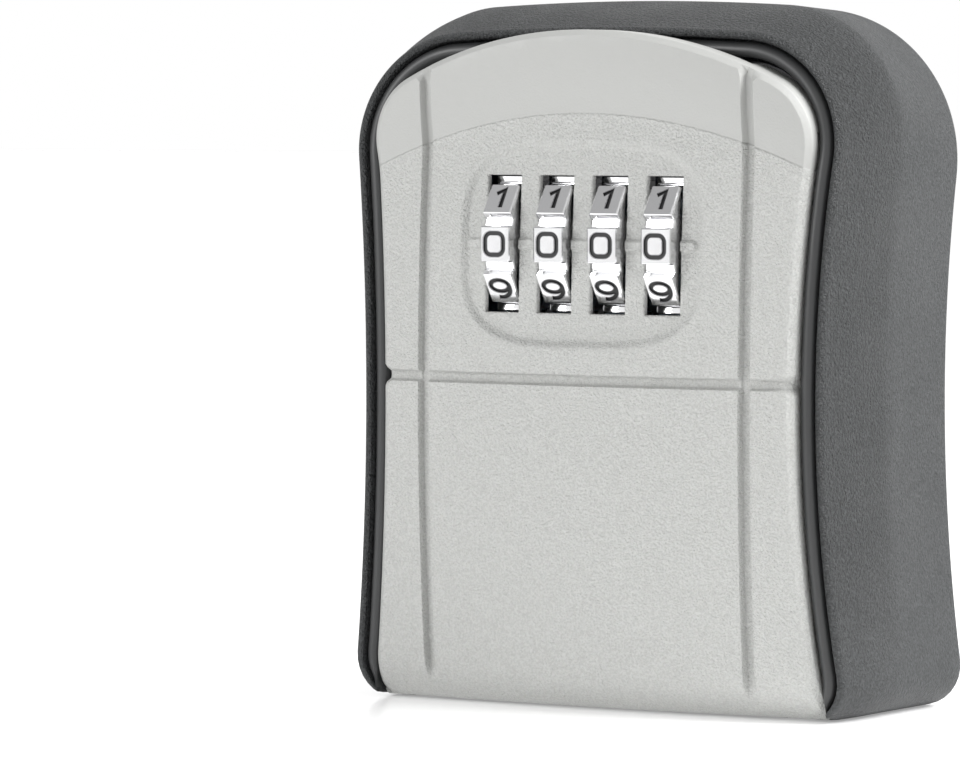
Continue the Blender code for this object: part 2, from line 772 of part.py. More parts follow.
def build_shaft_clip(material):
    """Spring clip in the groove at the end of the shaft, open on one side."""
    centre = at(0, WHEEL_DEPTH, WHEEL_Z)
    inner, outer = SHAFT_RADIUS - GAP, 3.4 * MM
    steps = 14
    ring = []
    for i in range(steps + 1):
        angle = math.radians(-140 + 280 * i / steps)
        ring.append((outer * math.cos(angle), outer * math.sin(angle)))
    for i in range(steps, -1, -1):
        angle = math.radians(-140 + 280 * i / steps)
        ring.append((inner * math.cos(angle), inner * math.sin(angle)))
    rings = [[centre + Vector((x, a, b)) for a, b in ring] for x in (21.6 * MM, 22.1 * MM)]
    return loft("shaft_clip", rings, material)


def turned_point(across, up, turn):
    """Point of a section, given beside and along a radius that has been turned."""
    c, s = math.cos(turn), math.sin(turn)
    return (up * c - across * s, up * s + across * c)


def wheel_section():
    """Side view of a number wheel: ten flat pads with a round-bottomed notch between them."""
    pad_half = 2.65 * MM
    notch = 1.5 * MM
    slope = 0.35 * MM
    shoulder = 0.9 * MM
    ring = []
    for k in range(DIGITS):
        turn = 2 * math.pi * k / DIGITS
        valley = 2 * math.pi * (k + 0.5) / DIGITS
        ring.append(turned_point(-pad_half, WHEEL_FACE, turn))
        ring.append(turned_point(pad_half, WHEEL_FACE, turn))
        ring.append(turned_point(pad_half + slope, WHEEL_FACE - shoulder, turn))
        ring.append(turned_point(0, WHEEL_FACE - notch, valley))
        next_turn = 2 * math.pi * (k + 1) / DIGITS
        ring.append(turned_point(-pad_half - slope, WHEEL_FACE - shoulder, next_turn))
    return ring


def build_wheel(index, material):
    centre = at(wheel_x(index), WHEEL_DEPTH, WHEEL_Z)
    half = WHEEL_WIDTH / 2
    section = wheel_section()
    rings = []
    for x, scale in ((-half, 0.965), (-half + 0.4 * MM, 1), (half - 0.4 * MM, 1), (half, 0.965)):
        rings.append([centre + Vector((x, -a * scale, b * scale)) for a, b in section])
    wheel = loft("number_wheel_%d" % (index + 1), rings, material)
    bore = SLEEVE_RADIUS + GAP
    hole = ((-4 * MM, bore), (4 * MM, bore))
    cut(wheel, turned_x("wheel_bore_tool_%d" % index, hole, centre, sides=24))
    move_origin(wheel, centre)
    return wheel


def build_sleeve(index, material):
    """Code sleeve inside a wheel, with a flange that has one gate in its rim."""
    centre = at(wheel_x(index), WHEEL_DEPTH, WHEEL_Z)
    half = WHEEL_WIDTH / 2
    start = SLEEVE_OFFSET - 0.9 * MM
    profile = (
        (-half + 0.2 * MM, SLEEVE_RADIUS),
        (start, SLEEVE_RADIUS),
        (start, SLEEVE_FLANGE),
        (start + 1.8 * MM, SLEEVE_FLANGE),
    )
    sleeve = turned_x("code_sleeve_%d" % (index + 1), profile, centre, material, 30)
    bore = SHAFT_RADIUS + GAP
    hole = ((-6 * MM, bore), (8 * MM, bore))
    cut(sleeve, turned_x("sleeve_bore_tool_%d" % index, hole, centre, sides=20))
    x = wheel_x(index)
    cut(sleeve, box("gate_tool_%d" % index, (x + start - 1 * MM, WHEEL_DEPTH - 1.9 * MM, WHEEL_Z + 4.4 * MM),
                    (x + start + 3 * MM, WHEEL_DEPTH + 1.9 * MM, WHEEL_Z + 8 * MM)))
    move_origin(sleeve, centre)
    return sleeve


def build_detent_spring(material):
    """Leaf with four bowed fingers behind the wheels."""
    back = CASE_TOP_DECK + CASE_WALL + GAP
    leaf = 0.4 * MM
    reach = 17.6 * MM
    spring = box("detent_spring", (-reach, back, 59.6 * MM), (reach, back + leaf, 63 * MM), material)
    for index in range(WHEEL_COUNT):
        x = wheel_x(index)
        rings = []
        for z, lift in ((62.6 * MM, 0), (65.5 * MM, 0.8 * MM), (69.5 * MM, 2.2 * MM), (73 * MM, 2.8 * MM),
                        (75.2 * MM, 2.8 * MM), (76.6 * MM, 2.3 * MM)):
            low = back + lift
            rings.append([at(x - 1.5 * MM, low, z), at(x + 1.5 * MM, low, z),
                          at(x + 1.5 * MM, low + leaf, z), at(x - 1.5 * MM, low + leaf, z)])
        join(spring, loft("finger_tool_%d" % index, rings))
    return spring


def build_bolt(material):
    """Latch bolt with a rounded nose."""
    low, high = BOLT_Z
    radius = BOLT_THICK / 2
    nose = arc((BOLT_DEPTH, high - radius), radius, 0, math.pi, 10)
    section = [(BOLT_DEPTH - radius, low), (BOLT_DEPTH + radius, low)] + nose
    rings = [[at(x, depth, z) for depth, z in section] for x in (-BOLT_WIDTH / 2, BOLT_WIDTH / 2)]
    bolt = loft("latch_bolt", rings, material)
    move_origin(bolt, at(0, BOLT_DEPTH, low))
    return bolt


def build_locking_bar(material):
    """Bar with one tooth over each sleeve gate; it travels with the bolt."""
    near = BOLT_DEPTH + BOLT_THICK / 2 + GAP
    low, high = 87.5 * MM, 89.5 * MM
    bar = box("locking_bar", (-15 * MM, near, low), (18.3 * MM, WHEEL_DEPTH + 1.8 * MM, high), material)
    for index in range(WHEEL_COUNT):
        x = wheel_x(index) + SLEEVE_OFFSET
        tip = WHEEL_Z + SLEEVE_FLANGE + 1.6 * MM
        join(bar, box("tooth_tool_%d" % index, (x - 0.55 * MM, WHEEL_DEPTH - 1.4 * MM, tip),
                      (x + 0.55 * MM, WHEEL_DEPTH + 1.4 * MM, low + 1 * MM)))
    move_origin(bar, at(0, BOLT_DEPTH, low))
    return bar


def build_bolt_spring(material):
    """Coil spring that pushes the bolt out of the case."""
    low, high = 78.6 * MM, BOLT_Z[0] - GAP
    wire, coil = 0.22 * MM, 1.35 * MM
    turns, per_turn, sides = 6, 12, 6
    rings = []
    total = turns * per_turn
    for i in range(total + 1):
        angle = 2 * math.pi * i / per_turn
        z = low + wire + (high - low - 2 * wire) * i / total
        out = Vector((math.cos(angle), math.sin(angle), 0))
        centre = at(0, BOLT_DEPTH - 0.1 * MM, z) + out * coil
        ring = []
        for k in range(sides):
            spin = 2 * math.pi * k / sides
            ring.append(centre + (out * math.cos(spin) + Vector((0, 0, 1)) * math.sin(spin)) * wire)
        rings.append(ring)
    return loft("bolt_spring", rings, material, 60)


def build_reset_lever(material):
    """Code-change lever: a steel tab that stands out of the case's deck."""
    back = CASE_DECK + CASE_WALL + GAP
    front = back + 1.5 * MM
    lever = box("reset_lever", (24 * MM, back, 72.5 * MM), (27.9 * MM, front, 81.5 * MM), material)
    join(lever, box("lever_tab_tool", (24.6 * MM, 9.8 * MM, 76 * MM),
                    (26.6 * MM, back + 1 * MM, 78 * MM)))
    return lever


def build_reset_fork(material):
    """Fork under the lever, whose two prongs reach down beside the shaft's clip."""
    back = CASE_DECK + CASE_WALL + GAP + 1.5 * MM + GAP
    low, high = WHEEL_Z - 5.6 * MM, WHEEL_Z + 5.6 * MM
    fork = box("reset_fork", (24 * MM, back, low), (26.2 * MM, back + 2 * MM, high), material)
    for side in (-1, 1):
        near, far = sorted((WHEEL_Z + side * 3.8 * MM, WHEEL_Z + side * 5.6 * MM))
        join(fork, box("prong_tool_%d" % side, (24 * MM, back + 1 * MM, near),
                       (25.6 * MM, 32.6 * MM, far)))
    return fork


def hang_on_hinge():
    """Put the origins of the pieces fixed to the door on the hinge axis."""
    fixed = ["door_panel", "lock_case", "dial_shaft", "shaft_clip", "detent_spring",
             "case_screw_left", "case_screw_right", "ear_screw_left", "ear_screw_right"]
    for name in fixed:
        move_origin(bpy.data.objects[name], at(0, HINGE_DEPTH, HINGE_Z))


def clear_scene():
    for item in list(bpy.data.objects):
        bpy.data.objects.remove(item, do_unlink=True)


def main():
    clear_scene()
    charcoal = make_material("charcoal_coat", (0.10, 0.105, 0.107), 0.62)
    rubber = make_material("black_rubber", (0.018, 0.018, 0.019), 0.38)
    warm_grey = make_material("warm_grey_paint", (0.62, 0.63, 0.61), 0.5)
    pale_blue = make_material("pale_blue_plastic", (0.70, 0.80, 0.88), 0.4)
    chrome = make_material("chrome", (0.80, 0.80, 0.81), 0.15, 1)
    steel = make_material("steel", (0.56, 0.56, 0.57), 0.35, 1)
    brass = make_material("brass", (0.75, 0.62, 0.36), 0.3, 1)
    white = make_material("white_plastic", (0.85, 0.85, 0.83), 0.45)

    build_housing(charcoal)
    build_rim_seal(rubber)
    build_door_gasket(rubber)
    build_strike(steel)
    for name, x, z in spots():
        build_plug(name, x, z, rubber)
    build_hinge_pin("hinge_pin_left", -1, steel)
    build_hinge_pin("hinge_pin_right", 1, steel)
    build_door(warm_grey)
    build_case(pale_blue)
    case_head = (3.25 * MM, 2.4 * MM)
    ear_head = (1.75 * MM, 1.5 * MM)
    for name, side in (("left", -1), ("right", 1)):
        build_pan_screw("case_screw_" + name, side * 21.7 * MM, 90 * MM, 22.4 * MM, case_head, brass)
        build_pan_screw("ear_screw_" + name, side * 32.3 * MM, 80 * MM, 23.4 * MM, ear_head, chrome)
    build_shaft(steel)
    build_shaft_clip(steel)
    for index in range(WHEEL_COUNT):
        build_wheel(index, chrome)
        build_sleeve(index, white)
    build_detent_spring(steel)
    build_bolt(chrome)
    build_locking_bar(steel)
    build_bolt_spring(steel)
    build_reset_lever(steel)
    build_reset_fork(steel)
    hang_on_hinge()


main()
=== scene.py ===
"""Looks of the key lock box: fine meshes, finishes, studio lights and camera.

Places and sizes are in the row frame, in metres: +Z up, the flat back towards +Y, the origin
under the middle of the box. A depth is measured forwards from the flat back.
"""

import json
import math

import bmesh
import bpy
import numpy as np
from mathutils import Matrix, Vector
from mathutils.geometry import delaunay_2d_cdt


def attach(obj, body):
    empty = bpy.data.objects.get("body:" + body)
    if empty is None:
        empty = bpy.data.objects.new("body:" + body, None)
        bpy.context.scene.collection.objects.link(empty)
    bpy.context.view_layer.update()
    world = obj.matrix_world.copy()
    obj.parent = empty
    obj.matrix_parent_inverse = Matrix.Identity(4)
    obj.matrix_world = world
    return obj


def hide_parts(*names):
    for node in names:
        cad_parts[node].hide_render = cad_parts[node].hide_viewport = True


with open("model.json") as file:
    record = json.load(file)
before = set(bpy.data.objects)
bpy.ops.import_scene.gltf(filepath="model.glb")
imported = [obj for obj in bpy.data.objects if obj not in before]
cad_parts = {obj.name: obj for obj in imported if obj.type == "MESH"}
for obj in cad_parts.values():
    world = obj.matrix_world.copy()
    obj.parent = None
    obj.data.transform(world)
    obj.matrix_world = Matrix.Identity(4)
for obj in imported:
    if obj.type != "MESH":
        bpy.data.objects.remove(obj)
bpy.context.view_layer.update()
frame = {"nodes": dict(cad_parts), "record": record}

MM = 0.001

# Outer sizes and the outline shared by the housing, its rim and the door
HEIGHT = 112 * MM
DEPTH = 41.5 * MM
BACK_Y = DEPTH / 2
TOP_RADIUS = 440 * MM
SHOULDER = 23 * MM
REAR_SHOULDER = 24 * MM
REAR_DROP = 0.6 * MM
HEEL = 6.5 * MM
WAIST_HALF = 45.4 * MM
WAIST_Z = 50 * MM
SIDE_RADIUS = 317.6 * MM
BOW_RADIUS = 444 * MM

# Rim of the housing: insets from the outer outline, depths below the ridge
BACK_WALL = 3 * MM
BOTTOM_WALL = 2.6 * MM
RIDGE_DEPTH = 36.5 * MM
RIDGE_INSET = 6 * MM
RIDGE_LIFT = 0.8 * MM
CHANNEL_INSET = 6.4 * MM
CHANNEL_DROP = 2.6 * MM
LIP_INSET = 9.2 * MM
LIP_DEPTH = 29.5 * MM
CAVITY_INSET = 11.6 * MM
CREASE_DEPTH = 18 * MM
CREASE_INSET = 2.1 * MM
FRONT_SILL = 28 * MM

# Door and the shapes pressed into its face
DOOR_INSET = 9.35 * MM
DOOR_TOP = 107.3 * MM
DOOR_BOTTOM = 0.4 * MM
DOOR_TOP_RADIUS = 72 * MM
DOOR_CORNER = 11 * MM
DOOR_BACK = 30.7 * MM
DOOR_FRONT = 40.4 * MM
DOOR_WALL = 2.2 * MM
DOOR_CROWN_RADIUS = 286 * MM
LIP_OVERHANG_DEPTH = 34.15 * MM
CHIN_HEIGHT = 8 * MM
CHIN_ROLL = 4.4 * MM
FLARE_RISE = 3.5 * MM
FLARE_LENGTH = 17 * MM
FLARE_Z = 94.1 * MM
FLARE_ARC = 83 * MM
FLARE_FADE = 0.7
FLARE_SOFT = 1.2 * MM
GROOVE_X = 28.2 * MM
GROOVE_Z = 52.5 * MM
GROOVE_FOOT = 3 * MM
GROOVE_TOP = 101.6 * MM
UPRIGHT_GROOVE = (1.05 * MM, 0.5 * MM, 1.2 * MM)
LEVEL_GROOVE = (0.95 * MM, 0.35 * MM, 0.9 * MM)
UPRIGHT_ROWS = (-1.25, -1.05, -0.93, -0.8, -0.67, -0.55, 0, 0.55, 0.67, 0.8, 0.93, 1.05, 1.25)
LEVEL_ROWS = (-1.15, -0.95, -0.86, -0.77, -0.68, -0.6, 0, 0.6, 0.68, 0.77, 0.86, 0.95, 1.15)
NOTCH_HALF = 1.35 * MM
NOTCH_CUT = 0.7 * MM
RECESS_HALF = (21.6 * MM, 16.3 * MM)
RECESS_CUT = 0.9 * MM
RECESS_WALL = 1.5 * MM
RECESS_POWER = 3.4
INDEX_X = (-19.6 * MM, 19 * MM)
INDEX_HALF = 1 * MM
INDEX_WALL = 0.45 * MM
INDEX_RISE = 0.5 * MM
EDGE_ROUND = 0.95 * MM
EDGE_STEPS = (
    (0.88 * MM, 0.03 * MM),
    (0.8 * MM, 0.1 * MM),
    (0.15 * MM, 0.72 * MM),
    (0.05 * MM, 0.82 * MM),
    (0, 1 * MM),
)
RELIEF_HALF = 18.6 * MM
RELIEF_RISE = 12.3 * MM
RELIEF_WALL = 1 * MM

# Number wheels and windows
WHEEL_Z = 73.7 * MM
WHEEL_PITCH = 9.4 * MM
WHEEL_WIDTH = 5.2 * MM
WHEEL_FACE = 12.1 * MM
WHEEL_COUNT = 4
DIGITS = 10
WHEEL_DEPTH = DEPTH - WHEEL_FACE
WINDOW_HALF = (3 * MM, 10.8 * MM)
WINDOW_ROUND = 0.22 * MM
SLEEVE_BORE = 4 * MM
PAD_HALF = 2.62 * MM
DIGIT_HALF = (1.6, 1.7)

# Hinge and the flange for the lock case
HINGE_DEPTH = 21.2 * MM
HINGE_Z = 5.5 * MM
HINGE_PIN_RADIUS = 1.5 * MM
ARM_X = (31 * MM, 35.3 * MM)
ARM_END = 3 * MM
FLANGE_BACK = 26.4 * MM
FLANGE_HALF = 32 * MM
FLANGE_TOP = 96.5 * MM
FLANGE_BOTTOM = 50 * MM
FLANGE_WALL = 2.2 * MM
BOSS_END = 35.6 * MM
BOSS_RADIUS = 3.2 * MM
CASE_SCREW = (21.7 * MM, 90 * MM)
EAR_SCREW = (32.3 * MM, 80 * MM)

# Wall holes
HOLE_CENTRE_Z = 57 * MM
HOLE_REACH = 25 * MM
HOLE_RADIUS = 3.5 * MM

# Points along the flat, the heel, the side, the shoulder and the arch of an outline
FINE_STEPS = (14, 8, 150, 44, 30)


def at(x, depth, z):
    """Point from X, depth in front of the back, and Z."""
    return Vector((x, BACK_Y - depth, z))


def smooth(value):
    """Soft step from 0 to 1."""
    value = min(max(value, 0), 1)
    return value * value * (3 - 2 * value)


def arc(centre, radius, start, end, steps):
    turns = [start + (end - start) * i / steps for i in range(steps + 1)]
    return [(centre[0] + radius * math.cos(a), centre[1] + radius * math.sin(a)) for a in turns]


def spread(low, high, count):
    return [low + (high - low) * i / (count - 1) for i in range(count)]


# ---------------------------------------------------------------- outlines


def corner_centre(side, side_reach, top, top_reach):
    """Upper crossing of two circles: the centre of the arc that joins side and top."""
    gap = Vector(top) - Vector(side)
    span = gap.length
    along = (side_reach ** 2 - top_reach ** 2 + span ** 2) / (2 * span)
    across = math.sqrt(side_reach ** 2 - along ** 2)
    middle = Vector(side) + gap * (along / span)
    offset = Vector((gap.y, -gap.x)) * (across / span)
    return max(middle + offset, middle - offset, key=lambda point: point.y)


def outline(top, bottom, top_radius, corner, foot, inset=0.0):
    """Closed ring of (x, z): flat foot, waisted sides, round shoulders, arched top."""
    side = (WAIST_HALF + SIDE_RADIUS, WAIST_Z)
    side_radius = SIDE_RADIUS + inset
    arch = (0, top - top_radius)
    shoulder = max(corner - inset, 1 * MM)
    heel = max(foot - inset, 0.8 * MM)
    centre = corner_centre(side, side_radius + shoulder, arch, top_radius - inset - shoulder)
    heel_z = bottom + heel
    heel_x = side[0] - math.sqrt((side_radius + heel) ** 2 - (heel_z - side[1]) ** 2)
    to_side = math.atan2(side[1] - centre.y, side[0] - centre.x)
    to_arch = math.atan2(centre.y - arch[1], centre.x - arch[0])
    heel_turn = math.atan2(side[1] - heel_z, side[0] - heel_x)
    flat, foot_steps, side_steps, corner_steps, arch_steps = FINE_STEPS
    half_ring = [(heel_x * i / flat, bottom) for i in range(flat)]
    half_ring += arc((heel_x, heel_z), heel, -math.pi / 2, heel_turn, foot_steps)
    half_ring += arc(side, side_radius, math.pi + heel_turn, math.pi + to_side, side_steps)[1:-1]
    half_ring += arc(centre, shoulder, to_side, to_arch, corner_steps)
    half_ring += arc(arch, top_radius - inset, to_arch, math.pi / 2, arch_steps)[1:]
    mirrored = [(-x, z) for x, z in reversed(half_ring[1:-1])]
    return half_ring + mirrored


def housing_outline(inset, foot_inset=None, lift=0.0, shoulder=SHOULDER):
    """Outer ring of the housing: its heel keeps the same radius at every inset."""
    rise = inset if foot_inset is None else foot_inset
    return outline(HEIGHT + lift, rise, TOP_RADIUS, shoulder, HEEL + inset, inset)


def cavity_outline(inset, foot_inset):
    """Ring of the cavity, whose heels are tighter than those of the outside."""
    return outline(HEIGHT, foot_inset, TOP_RADIUS, SHOULDER, HEEL, inset)


def door_outline(inset=0.0):
    return outline(DOOR_TOP + DOOR_INSET, DOOR_BOTTOM + inset, DOOR_TOP_RADIUS + DOOR_INSET,
                   DOOR_CORNER + DOOR_INSET, 2 * MM + DOOR_INSET, DOOR_INSET + inset)


def bow(z):
    """How far the bowed front falls back from its foremost line."""
    return (z - WAIST_Z) ** 2 / (2 * BOW_RADIUS)


def ridge_depth(z):
    return RIDGE_DEPTH - bow(z)


def flare_crease(x):
    return FLARE_Z - x * x / (2 * FLARE_ARC)


def face_depth(x, z):
    """Depth of the door's face: bowed, crowned, rolled under at the foot, flared at the top."""
    depth = DOOR_FRONT - bow(z) - x * x / (2 * DOOR_CROWN_RADIUS)
    if z < CHIN_HEIGHT:
        depth -= CHIN_ROLL * ((CHIN_HEIGHT - z) / CHIN_HEIGHT) ** 2
    past = z - flare_crease(x)
    past = (past + math.sqrt(past * past + FLARE_SOFT ** 2)) / 2
    rise = min(past / FLARE_LENGTH, 1)
    share = 1 - FLARE_FADE * (x / WAIST_HALF) ** 2
    return depth + FLARE_RISE * share * rise * (2 - rise)


# ---------------------------------------------------------------- mesh helpers


def finish_mesh(name, bm, sharp=35):
    bmesh.ops.remove_doubles(bm, verts=bm.verts, dist=1e-7)
    bmesh.ops.recalc_face_normals(bm, faces=bm.faces)
    mesh = bpy.data.meshes.new(name)
    bm.to_mesh(mesh)
    bm.free()
    mesh.shade_smooth()
    mesh.set_sharp_from_angle(angle=math.radians(sharp))
    item = bpy.data.objects.new(name, mesh)
    bpy.context.scene.collection.objects.link(item)
    return item


def loft_into(bm, rings, closed=True):
    loops = [[bm.verts.new(point) for point in ring] for ring in rings]
    count = len(loops[0])
    for near, far in zip(loops, loops[1:]):
        for i in range(count):
            j = (i + 1) % count
            bm.faces.new((near[i], near[j], far[j], far[i]))
    if closed:
        bm.faces.new(loops[0])
        bm.faces.new(loops[-1])
    return loops


def loft(name, rings, sharp=35):
    bm = bmesh.new()
    loft_into(bm, rings)
    return finish_mesh(name, bm, sharp)


def box(name, low, high):
    """Block between two (x, depth, z) corners."""
    corners = ((low[0], low[1]), (high[0], low[1]), (high[0], high[1]), (low[0], high[1]))
    return loft(name, [[at(x, depth, z) for x, depth in corners] for z in (low[2], high[2])])


def turned(name, profile, centre, along, sides=48, sharp=35):
    """Turn (distance along, radius) pairs about an axis through a centre: "x" or "y"."""
    rings = []
    for reach, radius in profile:
        ring = []
        for i in range(sides):
            angle = 2 * math.pi * i / sides
            across, up = radius * math.cos(angle), radius * math.sin(angle)
            offset = Vector((reach, -across, up)) if along == "x" else Vector((across, -reach, up))
            ring.append(centre + offset)
        rings.append(ring)
    return loft(name, rings, sharp)


def ring_at(points, depth):
    """Ring in space from an outline and a depth, which may be a function of X and Z."""
    if callable(depth):
        return [at(x, depth(x, z), z) for x, z in points]
    return [at(x, depth, z) for x, z in points]


def merge(name, items):
    """Gather several mesh objects into one."""
    bm = bmesh.new()
    for item in items:
        item.data.transform(item.matrix_basis)
        bm.from_mesh(item.data)
        bpy.data.objects.remove(item, do_unlink=True)
    mesh = bpy.data.meshes.new(name)
    bm.to_mesh(mesh)
    bm.free()
    item = bpy.data.objects.new(name, mesh)
    bpy.context.scene.collection.objects.link(item)
    return item


def bake(item, sharp=35):
    """Replace an object's mesh with its shape after modifiers."""
    bpy.context.view_layer.update()
    graph = bpy.context.evaluated_depsgraph_get()
    mesh = bpy.data.meshes.new_from_object(item.evaluated_get(graph))
    item.modifiers.clear()
    item.data = mesh
    mesh.shade_smooth()
    mesh.set_sharp_from_angle(angle=math.radians(sharp))
    return item


def combine(item, tool, operation="DIFFERENCE", keep_colour=False):
    """Boolean a tool into an item and delete the tool."""
    modifier = item.modifiers.new(tool.name, "BOOLEAN")
    modifier.operation = operation
    modifier.solver = "EXACT"
    modifier.object = tool
    modifier.material_mode = "TRANSFER" if keep_colour else "INDEX"
    bake(item)
    bpy.data.objects.remove(tool, do_unlink=True)


def soften(item, width, segments=2, angle=40):
    bevel = item.modifiers.new("soft_edges", "BEVEL")
    bevel.width = width
    bevel.segments = segments
    bevel.limit_method = "ANGLE"
    bevel.angle_limit = math.radians(angle)
    bevel.harden_normals = False


# ---------------------------------------------------------------- finishes


class Finish:
    """A node material with short calls for noise, masks and bump."""

    def __init__(self, name, colour, roughness, metallic=0.0):
        self.material = bpy.data.materials.new(name)
        self.material.use_nodes = True
        self.tree = self.material.node_tree
        self.shader = self.tree.nodes["Principled BSDF"]
        self.colour = (*colour, 1)
        self.shader.inputs["Base Color"].default_value = self.colour
        self.shader.inputs["Roughness"].default_value = roughness
        self.shader.inputs["Metallic"].default_value = metallic
        self.place = self.tree.nodes.new("ShaderNodeTexCoord").outputs["Object"]

    def link(self, source, target):
        self.tree.links.new(source, target)

    def noise(self, per_metre, detail=2, roughness=0.5):
        node = self.tree.nodes.new("ShaderNodeTexNoise")
        node.inputs["Scale"].default_value = per_metre
        node.inputs["Detail"].default_value = detail
        node.inputs["Roughness"].default_value = roughness
        self.link(self.place, node.inputs["Vector"])
        return node.outputs["Fac"]

    def axis(self, name):
        node = self.tree.nodes.new("ShaderNodeSeparateXYZ")
        self.link(self.place, node.inputs[0])
        return node.outputs[name]

    def span(self, value, low, high, to_low=0.0, to_high=1.0):
        node = self.tree.nodes.new("ShaderNodeMapRange")
        node.interpolation_type = "SMOOTHSTEP"
        limits = (("From Min", low), ("From Max", high), ("To Min", to_low), ("To Max", to_high))
        for socket, number in limits:
            node.inputs[socket].default_value = number
        self.link(value, node.inputs["Value"])
        return node.outputs["Result"]

    def math(self, operation, first, second):
        node = self.tree.nodes.new("ShaderNodeMath")
        node.operation = operation
        for socket, value in zip(node.inputs, (first, second)):
            if isinstance(value, (int, float)):
                socket.default_value = value
            else:
                self.link(value, socket)
        return node.outputs[0]

    def mix(self, factor, first, second):
        """Mix two colours by a factor."""
        node = self.tree.nodes.new("ShaderNodeMix")
        node.data_type = "RGBA"
        self.link(factor, node.inputs["Factor"])
        for socket, value in (("A", first), ("B", second)):
            target = [entry for entry in node.inputs if entry.name == socket and entry.type == "RGBA"][0]
            if isinstance(value, tuple):
                target.default_value = (*value, 1) if len(value) == 3 else value
            else:
                self.link(value, target)
        return [entry for entry in node.outputs if entry.type == "RGBA"][0]

    def paint(self, colour):
        self.link(colour, self.shader.inputs["Base Color"])

    def bump(self, height, distance, strength=1.0):
        node = self.tree.nodes.new("ShaderNodeBump")
        node.inputs["Distance"].default_value = distance
        node.inputs["Strength"].default_value = strength
        self.link(height, node.inputs["Height"])
        last = self.shader.inputs["Normal"]
        if last.is_linked:
            self.link(last.links[0].from_socket, node.inputs["Normal"])
        self.link(node.outputs["Normal"], last)
        return node

    def uneven(self, amount, per_metre):
        """Vary the roughness a little over the surface."""
        base = self.shader.inputs["Roughness"].default_value
        value = self.span(self.noise(per_metre, 3), 0.3, 0.7, base - amount, base + amount)
        self.link(value, self.shader.inputs["Roughness"])


def scaled(colour, factor):
    return tuple(channel * factor for channel in colour)


def coat_finish():
    """Charcoal coat: leathery on the sloped front, finer on the flanks."""
    colour = (0.04, 0.0425, 0.044)
    finish = Finish("charcoal_coat", colour, 0.56)
    depth = finish.math("SUBTRACT", BACK_Y, finish.axis("Y"))
    front = finish.span(depth, CREASE_DEPTH - 3 * MM, CREASE_DEPTH + 4 * MM)
    foot = finish.span(finish.axis("Z"), 2 * MM, 30 * MM, 0.35, 1)
    share = finish.math("MULTIPLY", finish.span(front, 0, 1, 0.45, 1), foot)
    leather = finish.math("MULTIPLY", finish.noise(2300, 2, 0.6), share)
    finish.bump(leather, 1.4 * MM, 1)
    worn = finish.span(finish.noise(2200, 2), 0.35, 0.7)
    finish.paint(finish.mix(worn, scaled(colour, 0.7), scaled(colour, 1.35)))
    finish.uneven(0.06, 60)
    return finish.material


def satin_finish(name, colour):
    """Smooth rubber with a satin shine."""
    finish = Finish(name, colour, 0.4)
    finish.bump(finish.noise(900, 2), 0.02 * MM, 0.4)
    finish.uneven(0.05, 150)
    return finish.material


def door_finish():
    """Light warm-grey paint: fine sparkling grain; the flared top is smoother and painted darker as shade."""
    colour = (0.5, 0.504, 0.49)
    finish = Finish("warm_grey_paint", colour, 0.45)
    across = finish.axis("X")
    square = finish.math("MULTIPLY", across, across)
    crease = finish.math("SUBTRACT", FLARE_Z, finish.math("MULTIPLY", square, 1 / (2 * FLARE_ARC)))
    above = finish.math("SUBTRACT", finish.axis("Z"), crease)
    # Mask of the flared top: it smooths the grain there and carries painted shade
    flare_smoothing_and_shade = finish.span(above, -0.2 * MM, 0.4 * MM)
    grainy = finish.span(flare_smoothing_and_shade, 0, 1, 1, 0.12)
    grain = finish.math("MULTIPLY", finish.noise(2500, 2, 0.6), grainy)
    finish.bump(grain, 0.42 * MM, 1)
    speck = finish.span(finish.noise(2900, 1), 0.35, 0.65)
    tint = finish.mix(speck, scaled(colour, 0.93), scaled(colour, 1.06))
    # Painted shade: the flared top, which tilts down away from the light, is painted darker
    finish.paint(finish.mix(flare_smoothing_and_shade, tint, scaled(colour, 0.86)))
    finish.uneven(0.05, 300)
    return finish.material


def case_finish():
    """Pale blue moulded plastic."""
    colour = (0.66, 0.77, 0.86)
    finish = Finish("pale_blue_plastic", colour, 0.38)
    finish.shader.inputs["Subsurface Weight"].default_value = 0.15
    finish.shader.inputs["Subsurface Radius"].default_value = (0.002, 0.002, 0.0025)
    finish.bump(finish.noise(1800, 2), 0.02 * MM, 0.35)
    cloud = finish.span(finish.noise(60, 2), 0.3, 0.7)
    finish.paint(finish.mix(cloud, scaled(colour, 0.96), scaled(colour, 1.02)))
    finish.uneven(0.05, 200)
    return finish.material


def chrome_finish(name, colour, roughness):
    finish = Finish(name, colour, roughness, 1)
    finish.bump(finish.noise(500, 2), 0.012 * MM, 0.35)
    finish.uneven(roughness * 0.3, 250)
    return finish.material


def brushed_finish():
    """Steel with fine drawn lines along X."""
    finish = Finish("steel", (0.56, 0.56, 0.57), 0.32, 1)
    stretch = finish.tree.nodes.new("ShaderNodeMapping")
    stretch.inputs["Scale"].default_value = (0.06, 1, 1)
    finish.link(finish.place, stretch.inputs["Vector"])
    finish.place = stretch.outputs["Vector"]
    finish.bump(finish.noise(4000, 2), 0.01 * MM, 0.5)
    finish.uneven(0.08, 3000)
    return finish.material


def ink_finish():
    finish = Finish("digit_ink", (0.012, 0.012, 0.013), 0.4)
    finish.bump(finish.noise(2500, 1), 0.01 * MM, 0.4)
    return finish.material


def white_finish():
    finish = Finish("white_plastic", (0.82, 0.82, 0.79), 0.42)
    finish.bump(finish.noise(1500, 2), 0.015 * MM, 0.3)
    finish.uneven(0.05, 200)
    return finish.material


def give(item, material):
    item.data.materials.clear()
    item.data.materials.append(material)


# ---------------------------------------------------------------- housing


